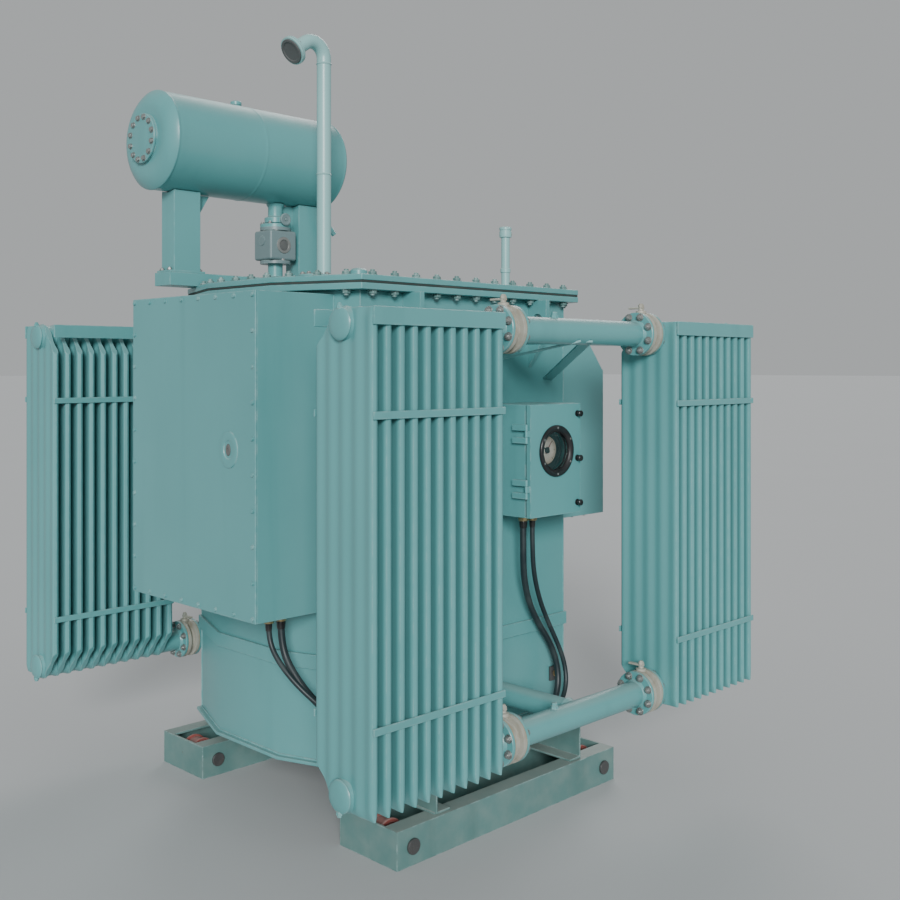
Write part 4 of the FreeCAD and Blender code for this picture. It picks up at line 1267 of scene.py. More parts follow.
@dataclass
class Plan:
    """The tank's octagonal plan."""

    half_length: float = 0.640
    half_width: float = 0.480
    side_flat: float = 0.531
    end_flat: float = 0.184

    def corners(self, grow: float) -> list[tuple[float, float]]:
        """Corners of the plan grown by an amount, anticlockwise from the +X end.

        Args:
            grow: How far outside the tank's wall the outline runs.

        Returns:
            The outline's points.
        """
        run, rise = self.half_length - self.side_flat, self.half_width - self.end_flat
        slant = math.hypot(run, rise)
        across, along = rise / slant, run / slant
        reach = across * self.side_flat + along * self.half_width + grow
        long_x = (reach - along * (self.half_width + grow)) / across
        short_y = (reach - across * (self.half_length + grow)) / along
        quarter = [(self.half_length + grow, short_y), (long_x, self.half_width + grow)]
        half = quarter + [(-x, y) for x, y in reversed(quarter)]
        return half + [(-x, -y) for x, y in half]

    def spread(self, grow: float, pitch: float) -> list[tuple[float, float]]:
        """Even places along the grown plan, about a pitch apart.

        Args:
            grow: How far outside the tank's wall the places are.
            pitch: The space to aim for between two places.

        Returns:
            The places.
        """
        corners = self.corners(grow)
        places = []
        for start, end in zip(corners, corners[1:] + corners[:1]):
            length = math.dist(start, end)
            count = max(1, round(length / pitch))
            for index in range(count):
                share = (index + 0.5) / count
                places.append(tuple(a + (b - a) * share for a, b in zip(start, end)))
        return places


@dataclass
class Tank(Assembly):
    """Welded tank with its bolted cover, bands and lifting lugs."""

    bolt_pitch: float = 0.098
    bolt_size: float = 0.016
    bolt_line: float = 0.026
    box_half_width: float = 0.40
    hand_holes: tuple[Point, ...] = ((0.30, 0.10, 0.105), (0.30, -0.24, 0.075),
                                     (-0.50, -0.20, 0.060))
    earth_place: float = 0.47

    def build(self) -> None:
        """Round the plates, run the weld beads and bolt the cover down."""
        for node, edge in (("tank_bottom", 0.003), ("tank_wall", 0.003), ("tank_rim", 0.003),
                           ("tank_cover", 0.003), ("tank_bands", 0.0025), ("lifting_lugs", 0.004)):
            self.rounded(node, edge)
        # The gasket takes a near-black finish as painted shade of the rim band.
        self.rounded("cover_gasket", 0.0015, "cork_gasket", RIM_GASKET_PAINTED_SHADE)
        self._cover_bolts()
        self._weld_beads()
        self._cover_plates()
        self._earthing()

    def _cover_bolts(self) -> None:
        """Bolts through the rim, heads on the cover and nuts beneath."""
        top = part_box("tank_cover")[1].z
        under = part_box("tank_rim")[0].z
        places = []
        for x, y in Plan().spread(self.bolt_line, self.bolt_pitch):
            places.append(Bench.aim((x, y, top), UP))
            if abs(y) >= self.box_half_width:
                places.append(Bench.aim((x, y, under), DOWN))
        # The cover bolts take the darker base paint as painted shade of the bolted rim band.
        bolts = self.fasteners.row("cover_bolts", self.bolt_size, places, BASE_GREEN, 0.006)
        self.hand_over(bolts)

    def _weld_beads(self) -> None:
        """Beads where the wall meets its bottom, and down the wall's corners."""
        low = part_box("tank_wall")[0].z
        corners = Plan().corners(0.0)
        ring = [(x, y, low + 0.002) for x, y in corners + corners[:1]]
        pieces = [Bench.sweep("bottom_bead", ring, 0.005, "POLY", 2)]
        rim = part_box("tank_rim")[0].z
        for x, y in corners:
            if abs(y) > self.box_half_width:
                pieces.append(Bench.sweep("corner_bead", [(x, y, low), (x, y, rim)], 0.0028,
                                          "POLY", 2))
        self.assemble("tank_weld_beads", pieces, finish=SEA_GREEN)

    def _cover_plates(self) -> None:
        """Bolted hand-hole covers on the tank cover."""
        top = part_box("tank_cover")[1].z
        pieces = []
        for x, y, radius in self.hand_holes:
            pieces.append(Bench.lathe("hand_hole", (x, y, top), UP,
                                      [(0, radius + 0.004), (0.006, radius + 0.004),
                                       (0.007, radius), (0.016, radius), (0.018, radius - 0.002),
                                       (0.018, radius * 0.4), (0.0185, 0)], 40))
            self.paint.dress(pieces[-1], SEA_GREEN)
            pieces.append(self.fasteners.row(
                "hand_hole_bolts", 0.010,
                Bench.ring((x, y, top + 0.0175), UP, radius - 0.014, 8), BOLT_STEEL, 0.002))
        self.assemble("cover_hand_holes", pieces)

    def _earthing(self) -> None:
        """Earthing pads with their bolts, low on the long walls."""
        pieces = []
        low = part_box("tank_wall")[0].z
        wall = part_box("tank_wall")[1].y
        for way in (-1, 1):
            x = -way * self.earth_place
            inner, outer = sorted((way * (wall - 0.001), way * (wall + 0.010)))
            pad = Bench.block("earth_pad", (x - 0.028, inner, low + 0.10),
                              (x + 0.028, outer, low + 0.156), 0.002)
            pieces += self.coat(AXLE_STEEL, pad)
            place = Bench.aim((x, way * (wall + 0.0095), low + 0.128), (0, way, 0))
            pieces.append(self.fasteners.row("earth_bolt", 0.012, [place], BRASS, 0.006))
        self.assemble("earthing_pads", pieces, slot="zinc_steel")


@dataclass(frozen=True)
class BoxSpec:
    """Which cable box, which way it faces and how its cover is dressed."""

    word: str
    way: int
    escutcheon: tuple[float, float] | None


LV_BOX = BoxSpec("lv", -1, (-0.235, 1.33))
HV_BOX = BoxSpec("hv", 1, None)


@dataclass
class CableBoxes(Assembly):
    """Sheet-metal cable boxes on the tank's ends."""

    screw_pitch: float = 0.118
    inset: float = 0.014
    plate_inset: float = 0.012

    def build(self) -> None:
        """Make both boxes."""
        for spec in (LV_BOX, HV_BOX):
            self.rounded(f"{spec.word}_cable_box", 0.0018)
            self.rounded(f"{spec.word}_gland_plate", 0.0015)
            self._cover(spec)
            self._plate_bolts(spec)
            self._seams(spec)

    def _cover(self, spec: BoxSpec) -> None:
        """Folded cover with its edge screws and any escutcheon.

        Args:
            spec: The cable box's sizes.
        """
        node = f"{spec.word}_box_cover"
        low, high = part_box(node)
        cover = Bench.rounded(node, f"{node}_finished", 0.0022, 3)
        self.paint.dress(cover, SEA_GREEN)
        face = high.x if spec.way > 0 else low.x
        pieces = [cover]
        if spec.escutcheon:
            y, z = spec.escutcheon
            ring = Bench.lathe("escutcheon", (face, y, z), (spec.way, 0, 0),
                               [(-0.001, 0.052), (0.0025, 0.052), (0.0045, 0.049), (0.0048, 0.034),
                                (0.003, 0.027), (0.0004, 0.025), (0.0004, 0)], 48)
            key = Bench.lathe("escutcheon_lock", (face, y, z), (spec.way, 0, 0),
                              [(0, 0.017), (0.0035, 0.017), (0.005, 0.015), (0.005, 0.006),
                               (0.001, 0.005), (0.001, 0)], 32)
            for part, finish, wide in ((ring, SEA_GREEN, 1.0), (key, DIAPHRAGM, 0.7)):
                part.data.transform(Matrix.Translation((0, y, z))
                                    @ Matrix.Diagonal((1, wide, 1.15, 1))
                                    @ Matrix.Translation((0, -y, -z)))
                pieces += self.coat(finish, part)
        inset = self.inset
        places = []
        for y in (low.y + inset, high.y - inset):
            count = round((high.z - low.z) / self.screw_pitch)
            for index in range(count + 1):
                z = low.z + inset + (high.z - low.z - 2 * inset) * index / count
                places.append(Bench.aim((face, y, z), (spec.way, 0, 0)))
        for z in (low.z + inset, high.z - inset):
            count = round((high.y - low.y) / self.screw_pitch)
            for index in range(1, count):
                y = low.y + inset + (high.y - low.y - 2 * inset) * index / count
                places.append(Bench.aim((face, y, z), (spec.way, 0, 0)))
        pieces.append(self.fasteners.row("cover_screws", 0.0075, places, SEA_GREEN))
        self.assemble(f"{node}_screwed", pieces, node)

    def _plate_bolts(self, spec: BoxSpec) -> None:
        """Screws up through the gland plate's edge.

        Args:
            spec: The cable box's sizes.
        """
        low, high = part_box(f"{spec.word}_gland_plate")
        inset = self.plate_inset
        places = []
        for x in (low.x + inset, (low.x + high.x) / 2, high.x - inset):
            for index in range(6):
                y = low.y + inset + (high.y - low.y - 2 * inset) * index / 5
                if x in (low.x + inset, high.x - inset) or index in (0, 5):
                    places.append(Bench.aim((x, y, low.z), DOWN))
        screws = self.fasteners.row(f"{spec.word}_gland_plate_screws", 0.007, places, BOLT_STEEL)
        self.hand_over(screws)

    def _seams(self, spec: BoxSpec) -> None:
        """Weld beads where the box meets the tank.

        Args:
            spec: The cable box's sizes.
        """
        low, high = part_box(f"{spec.word}_cable_box")
        near = high.x if spec.way < 0 else low.x
        pieces = [Bench.sweep("box_bead", [(near, y, low.z + 0.004), (near, y, high.z - 0.004)],
                              0.0035, "POLY", 2) for y in (low.y, high.y)]
        self.assemble(f"{spec.word}_box_beads", pieces, finish=SEA_GREEN)


@dataclass
class Cabinet(Assembly):
    """Marshalling box with its hinged door, window, gauge and terminal rails."""

    ring_screws: int = 6
    marks: int = 25
    scale_turn: float = 270
    terminals: int = 24
    rail_levels: tuple[float, float] = (0.060, 0.118)
    rail_inset: float = 0.02

    def build(self) -> None:
        """Make the case, the door's fittings, the gauge and what is behind the door."""
        self.rounded("marshalling_box", 0.0015)
        self.rounded("marshalling_door", 0.0028, body="door")
        self.rounded("door_hinges", 0.0008, "zinc_steel")
        self._window()
        self._knobs()
        self._gauge()
        self._terminals()
        self._seal()

    def _window(self) -> None:
        """Rubber-lipped window ring with its screws, a matt-black lining in the bore as painted
        shade, and the glass in it.
        """
        low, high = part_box("door_window_ring")
        middle = ((low.x + high.x) / 2, high.y, (low.z + high.z) / 2)
        outer = (high.x - low.x) / 2
        inner = (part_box("door_window_glass")[1].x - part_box("door_window_glass")[0].x) / 2
        proud = high.y - low.y
        ring = Bench.lathe("ring", middle, FORWARD,
                           [(0, inner), (0, outer), (proud * 0.5, outer),
                            (proud * 0.85, outer - 0.002), (proud, outer - 0.005),
                            (proud, inner + 0.010),
                            (proud * 0.7, inner + 0.005), (proud * 0.3, inner + 0.0005),
                            (0, inner)], 64)
        self.paint.dress(ring, BLACK_PLASTIC)
        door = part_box("marshalling_door")[1].y - middle[1]
        bore = inner - 0.0025
        # The sleeve and the lining are matt black: painted shade inside the window's bore,
        # darkening the view into the cabinet.
        sleeve = Bench.lathe("sleeve", middle, FORWARD,
                             [(0.001, inner + 0.001), (0.001, bore), (-0.0048, bore)], 64)
        painted_shade_lining = Bench.lathe("painted_shade_lining", middle, FORWARD,
                             [(-0.0102, bore), (-door, bore), (-door - 0.001, inner + 0.003),
                              (-door, inner + 0.003)], 64)
        places = Bench.ring((middle[0], low.y + 0.0035, middle[2]), FORWARD,
                            (inner + outer) / 2 + 0.001, self.ring_screws)
        screws = self.fasteners.row("ring_screws", 0.005, places, BOLT_STEEL)
        self.assemble("door_window_ring_screwed",
                      [ring, *self.coat(MATT_BLACK, sleeve, painted_shade_lining), screws], "door_window_ring",
                      slot="black_plastic", body="door")
        glass_low, glass_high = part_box("door_window_glass")
        thick = glass_high.y - glass_low.y
        pane = Bench.lathe("door_window_pane", (middle[0], glass_high.y, middle[2]), FORWARD,
                           [(0, 0), (0, inner), (thick, inner), (thick, 0)], 64)
        self.hand_over(pane, "window_glass", body="door", finish=ClearGlass(),
                       replaces=("door_window_glass",))

    def _knobs(self) -> None:
        """Three waisted knobs down the door's free edge."""
        low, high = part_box("door_knobs")
        x, radius = (low.x + high.x) / 2, (high.x - low.x) / 2
        length = high.y - low.y
        profile = [(0, 0), (0, radius), (0.003, radius), (0.004, radius * 0.62),
                   (length * 0.40, radius * 0.60), (length * 0.45, radius * 0.92),
                   (length * 0.88, radius), (length * 0.97, radius * 0.86),
                   (length, radius * 0.5), (length, 0)]
        knobs = [Bench.lathe("knob", (x, high.y, z), FORWARD, profile, 18)
                 for z in (low.z + radius, (low.z + high.z) / 2, high.z - radius)]
        self.assemble("door_knob_set", knobs, "door_knobs", slot="black_plastic", body="door",
                      finish=BLACK_PLASTIC)

    def _gauge(self) -> None:
        """Dial thermometer: housing, bezel, card, scale and pointer."""
        low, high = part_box("temperature_gauge")
        radius = (high.x - low.x) / 2
        middle = Vector(((low.x + high.x) / 2, low.y, (low.z + high.z) / 2))
        depth = high.y - low.y
        housing = Bench.lathe("gauge_housing", middle, (0, 1, 0),
                              [(0.0080, radius * 0.66), (0.0040, radius * 0.69),
                               (0.0030, radius * 0.86), (0.0005, radius * 0.90),
                               (0.0005, radius * 0.97), (0.003, radius), (0.010, radius),
                               (0.012, radius * 0.96), (0.056, radius * 0.96),
                               (0.060, radius * 0.9), (0.060, 0.024), (depth, 0.024),
                               (depth, 0)], 56)
        self.paint.dress(housing, MATT_BLACK)
        card_at = low.y + 0.0080
        card = Bench.lathe("gauge_card", (middle.x, card_at, middle.z), FORWARD,
                           [(0, radius * 0.67), (0.0006, radius * 0.665), (0.0006, 0)], 56)
        self.paint.dress(card, DialCard((middle.x, card_at, middle.z), radius * 0.7))
        pieces = [housing, card]
        for index in range(self.marks):
            angle = math.radians(self.scale_turn * (index / (self.marks - 1) - 0.5))
            long = index % 4 == 0
            inner, outer = radius * (0.50 if long else 0.55), radius * 0.60
            half = 0.0011 if long else 0.0006
            tick = Bench.block("tick", (-half, -0.0003, inner), (half, 0.0003, outer), 0)
            tick.data.transform(Matrix.Translation((middle.x, card_at - 0.0009, middle.z))
                                @ Matrix.Rotation(angle, 4, "Y"))
            pieces += self.coat(BLACK_PLASTIC, tick)
        for angle, length, finish in ((-62, 0.50, BLACK_PLASTIC), (38, 0.52, OXIDE_RED)):
            tip = radius * length
            hand = Bench.prism("pointer", [(-0.0045, 0, -0.014), (0.0045, 0, -0.014),
                                           (0.0008, 0, tip), (-0.0008, 0, tip)], (0, -0.0012, 0))
            hand.data.transform(Matrix.Translation((middle.x, card_at - 0.0022, middle.z))
                                @ Matrix.Rotation(math.radians(angle), 4, "Y"))
            pieces += self.coat(finish, hand)
        hub = Bench.lathe("pointer_hub", (middle.x, card_at, middle.z), FORWARD,
                          [(0, 0.012), (0.004, 0.012), (0.006, 0.009), (0.0062, 0)], 24)
        pieces += self.coat(BLACK_PLASTIC, hub)
        self.assemble("temperature_gauge_dial", pieces, "temperature_gauge", slot="gauge_black")

    def _terminals(self) -> None:
        """Two rails of terminals and a wiring duct on the cabinet's back."""
        low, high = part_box("marshalling_box")
        back = high.y - 0.005
        pieces = []
        left, right = low.x + self.rail_inset, high.x - self.rail_inset
        for rise in self.rail_levels:
            level = low.z + rise
            rail = Bench.block("rail", (left, back - 0.008, level - 0.0175),
                               (right, back, level + 0.0175), 0.001)
            pieces += self.coat(BOLT_STEEL, rail)
            block = Bench.block("terminal", (-0.0037, -0.045, -0.024), (0.0037, 0.0, 0.024),
                                0.0012, 1)
            self.paint.dress(block, TERMINAL_CREAM)
            pitch = (high.x - low.x - 0.07) / (self.terminals - 1)
            places = [Matrix.Translation((low.x + 0.035 + pitch * index, back - 0.006, level))
                      for index in range(self.terminals)]
            pieces.append(Bench.repeat("terminals", block, places))
        duct = Bench.block("duct", (left, back - 0.040, high.z - 0.080),
                           (right, back, high.z - 0.045), 0.002)
        pieces += self.coat(TERMINAL_CREAM, duct)
        self.assemble("terminal_rails", pieces, slot="gauge_black")

    def _seal(self) -> None:
        """Rubber seal round the case's mouth."""
        low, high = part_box("marshalling_box")
        inset, y = 0.004, low.y - 0.0015
        corners = [(low.x + inset, y, low.z + inset), (high.x - inset, y, low.z + inset),
                   (high.x - inset, y, high.z - inset), (low.x + inset, y, high.z - inset),
                   (low.x + inset, y, low.z + inset)]
        seal = Bench.sweep("door_seal", corners, 0.003, "POLY", 2)
        self.hand_over(seal, "black_plastic", finish=BLACK_PLASTIC)


@dataclass
class Conservator(Assembly):
    """Oil conservator on its legs, with the gas relay and its pipe."""

    seam_depth: float = 0.0018
    dome_steps: int = 9
    leg_width: float = 0.115
    gusset: tuple[float, float] = (0.065, 0.115)
    relay_flange: float = 0.062
    pipe: float = 0.030
    cover_bolts: int = 12
    flange_bolts: int = 6

    def build(self) -> None:
        """Make the drum, its ends and fittings, the legs and the relay."""
        self._drum()
        self._end_cover()
        self._filler()
        self._legs()
        self.rounded("conservator_rail", 0.004)
        self._relay()
        self._pipe()
        self._breather()

    def _axis(self) -> tuple[Vector, Vector, float, Vector]:
        """The drum's low and high corners, radius and middle."""
        low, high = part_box("conservator_shell")
        return low, high, (high.z - low.z) / 2, (low + high) / 2

    def _drum(self) -> None:
        """Rolled shell with domed ends and raised weld seams."""
        low, high, radius, middle = self._axis()
        dish = low.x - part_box("conservator_ends")[0].x
        crown = (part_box("conservator_end_cover")[1].z - middle.z) * 1.28
        length = high.x - low.x

        def dome() -> Profile:
            """Half-profile of one domed end, from its crown to the shell."""
            shares = [index / self.dome_steps for index in range(self.dome_steps + 1)]
            return [(-dish * (1 - share ** 2.2), crown + (radius - 0.001 - crown) * share)
                    for share in shares]
        flat, half = radius - self.seam_depth, length * 0.5
        end = [(-dish, 0)] + dome() + [(0.000, radius - 0.001), (0.0025, radius), (0.006, radius),
                                       (0.009, flat), (0.012, flat)]
        profile = end + [(half - 0.009, flat), (half - 0.006, flat), (half, radius),
                         (half + 0.006, flat), (half + 0.009, flat)]
        profile += [(length - along, reach) for along, reach in reversed(end)]
        drum = Bench.lathe("drum", (low.x, middle.y, middle.z), ALONG, profile, 96)
        bead = Bench.sweep("drum_bead", [(x, middle.y + radius * 0.64, middle.z - radius * 0.76)
                                         for x in (low.x + 0.01, high.x - 0.01)], 0.003, "POLY", 2)
        self.assemble("conservator_drum", [drum, bead], "conservator_shell", "conservator_ends",
                      finish=SEA_GREEN)

    def _end_cover(self) -> None:
        """Bolted round cover on the left end, grooved at its gasket."""
        low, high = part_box("conservator_end_cover")
        radius = (high.z - low.z) / 2
        middle = (low + high) / 2
        thick = high.x - low.x
        cover = Bench.lathe("cover", (high.x, middle.y, middle.z), (-1, 0, 0),
                            [(-0.004, 0.03), (-0.004, radius), (0.004, radius),
                             (0.0045, radius - 0.003), (0.0075, radius - 0.003),
                             (0.008, radius), (thick - 0.004, radius),
                             (thick - 0.002, radius - 0.002), (thick - 0.002, radius * 0.60),
                             (thick, radius * 0.56), (thick, 0)], 64)
        self.paint.dress(cover, SEA_GREEN)
        bolts = self.fasteners.row(
            "cover_bolts", 0.0105, Bench.ring((low.x + 0.002, middle.y, middle.z), (-1, 0, 0),
                                              radius - 0.013, self.cover_bolts), BOLT_STEEL)
        self.assemble("conservator_end_cover_bolted", [cover, bolts], "conservator_end_cover")

    def _filler(self) -> None:
        """Screwed filler cap on its socket."""
        low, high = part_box("filler_cap")
        radius = (high.x - low.x) / 2
        middle = (low + high) / 2
        tall = high.z - low.z
        cap = Bench.lathe("filler_cap_turned", (middle.x, middle.y, low.z - 0.004), UP,
                          [(0, radius), (0.007, radius), (0.010, radius - 0.005),
                           (0.011, radius - 0.002), (tall, radius - 0.002),
                           (tall + 0.003, radius - 0.005), (tall + 0.004, radius * 0.5),
                           (tall + 0.004, 0)], 24)
        self.hand_over(cap, finish=SEA_GREEN, replaces=("filler_cap",))

    def _legs(self) -> None:
        """Folded legs with foot plates, bolts and a gusset at the top of each."""
        self.rounded("conservator_legs", 0.004)
        low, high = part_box("conservator_legs")
        rail_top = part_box("conservator_rail")[1].z
        wide, (reach, fall) = self.leg_width, self.gusset
        depth = high.y - low.y
        middle_y = (low.y + high.y) / 2
        pieces, places = [], []
        for x in (low.x + wide / 2, high.x - wide / 2):
            foot = Bench.block("foot", (x - wide / 2 - 0.018, low.y - 0.004, rail_top),
                               (x + wide / 2 + 0.018, high.y + 0.004, rail_top + 0.008), 0.002)
            pieces += self.coat(SEA_GREEN, foot)
            for turn in (-1, 1):
                for way in (-1, 1):
                    places.append(Bench.aim((x + turn * (wide / 2 + 0.008),
                                             middle_y + way * depth * 0.3, rail_top + 0.008), UP))
                clear_of_relay = low.x < x + turn * 0.13 < 0.02
                if clear_of_relay:
                    root, side, top = x + turn * wide / 2, middle_y - 0.003, high.z - 0.006
                    gusset = Bench.prism("gusset", [(root, side, high.z - fall),
                                                    (root + turn * reach, side, top),
                                                    (root, side, top)], (0, 0.006, 0), 0.001)
                    pieces += self.coat(SEA_GREEN, gusset)
        pieces.append(self.fasteners.row("foot_bolts", 0.010, places, BOLT_STEEL, 0.003))
        self.assemble("conservator_feet", pieces)

    def _relay(self) -> None:
        """Cast gas relay with flanges, sight windows, end bosses and bolts."""
        low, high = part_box("buchholz_relay")
        middle = (low + high) / 2
        flange = self.relay_flange
        body = Bench.block("relay_body", (low.x, low.y + 0.004, low.z + 0.014),
                           (high.x, high.y - 0.004, high.z - 0.014), 0.010, 4)
        pieces = [body]
        for at, way in ((low.z, 1), (high.z, -1)):
            pieces.append(Bench.lathe("relay_flange", (middle.x, middle.y, at), (0, 0, way),
                                      [(0, 0.02), (0, flange), (0.012, flange),
                                       (0.013, flange - 0.001), (0.015, 0.046),
                                       (0.020, 0.044)], 36))
        self.coat(RELAY_GREY, *pieces)
        for way in (-1, 1):
            face = middle.y + way * ((high.y - low.y) / 2 - 0.004)
            frame = Bench.lathe("sight_ring", (middle.x, face, middle.z), (0, way, 0),
                                [(-0.001, 0.020), (0.000, 0.034), (0.003, 0.033), (0.004, 0.030),
                                 (0.004, 0.023), (0.0005, 0.021), (0.0005, 0)], 40)
            pane = Bench.lathe("sight_pane", (middle.x, face + way * 0.0006, middle.z),
                               (0, way, 0),
                               [(0, 0.021), (0.0012, 0.020), (0.002, 0.008), (0.002, 0)], 32)
            pieces += self.coat(BOLT_STEEL, frame) + self.coat(DIAPHRAGM, pane)
        for x in (low.x, high.x):
            way = -1 if x == low.x else 1
            boss = Bench.lathe("relay_boss", (x - way * 0.004, middle.y, middle.z + 0.018),
                               (way, 0, 0), [(0, 0.019), (0.007, 0.019), (0.0075, 0)], 24)
            pieces += self.coat(RELAY_GREY, boss)
        places = []
        for at, way in ((low.z + 0.013, 1), (high.z - 0.013, -1)):
            places += Bench.ring((middle.x, middle.y, at), (0, 0, way), flange - 0.011,
                                 self.flange_bolts)
        pieces.append(self.fasteners.row("relay_bolts", 0.0095, places, BOLT_STEEL))
        self.assemble("buchholz_relay_cast", pieces, "buchholz_relay", slot="relay_grey")

    def _pipe(self) -> None:
        """Relay pipe: foot flange, lower run, upper flange, feed valve and upper run."""
        low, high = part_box("buchholz_pipe")
        relay_low, relay_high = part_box("buchholz_relay")
        x, y = (low.x + high.x) / 2, (low.y + high.y) / 2
        pipe, flange = self.pipe, (high.x - low.x) / 2
        rise = relay_low.z - low.z
        lower = Bench.lathe("lower_pipe", (x, y, low.z), UP,
                            [(0, 0.03), (0, flange), (0.012, flange), (0.014, flange - 0.002),
                             (0.014, pipe + 0.006), (0.018, pipe + 0.003), (0.023, pipe),
                             (rise * 0.52, pipe), (rise * 0.54, pipe + 0.003), (rise * 0.56, pipe),
                             (rise, pipe)], 36)
        start = relay_high.z
        reach = high.z - start
        upper = Bench.lathe("upper_pipe", (x, y, start), UP,
                            [(0, 0.02), (0, flange), (0.012, flange), (0.014, flange - 0.002),
                             (0.015, 0.034), (0.020, 0.044), (0.040, 0.044), (0.045, 0.034),
                             (0.048, pipe), (reach - 0.014, pipe), (reach - 0.008, pipe + 0.004),
                             (reach, pipe + 0.007)], 36)
        pieces = self.coat(SEA_GREEN, lower, upper)
        places = [place for at in (low.z, start) for place in
                  Bench.ring((x, y, at + 0.0135), UP, flange - 0.010, self.flange_bolts)]
        pieces.append(self.fasteners.row("pipe_bolts", 0.0095, places, BOLT_STEEL, 0.003))
        spindle = Bench.lathe("feed_spindle", (x, y - 0.040, start + 0.030), FORWARD,
                              [(0, 0.010), (0.018, 0.009), (0.020, 0.006), (0.034, 0.006),
                               (0.035, 0)], 16)
        wheel = Bench.lathe("feed_wheel", (x, y - 0.066, start + 0.030), FORWARD,
                            [(0.001, 0.008), (0.001, 0.016), (0.000, 0.020), (0.002, 0.025),
                             (0.006, 0.025), (0.008, 0.020), (0.006, 0.016), (0.006, 0.008)], 24)
        pieces += self.coat(RELAY_GREY, spindle, wheel)
        self.assemble("buchholz_pipe_flanged", pieces, "buchholz_pipe")

    def _breather(self) -> None:
        """Small sloping pipe from the drum's right end, with its union."""
        _, high, radius, middle = self._axis()
        start = Vector((high.x - 0.060, middle.y - radius * 0.42, middle.z - radius * 0.88))
        steps = ((0, 0, 0), (0, -0.004, -0.045), (0.020, -0.010, -0.085),
                 (0.052, -0.016, -0.118))
        route = [tuple(start + Vector(step)) for step in steps]
        pipe = Bench.sweep("breather_pipe", route, 0.009, "NURBS", 5)
        way = Vector(route[-1]) - Vector(route[-2])
        union = Bench.lathe("breather_union", route[-1], way,
                            [(-0.014, 0.010), (-0.014, 0.0145), (0.004, 0.0145), (0.005, 0.012),
                             (0.020, 0.012), (0.021, 0)], 6)
        self.assemble("conservator_breather", [pipe, union], finish=SEA_GREEN)


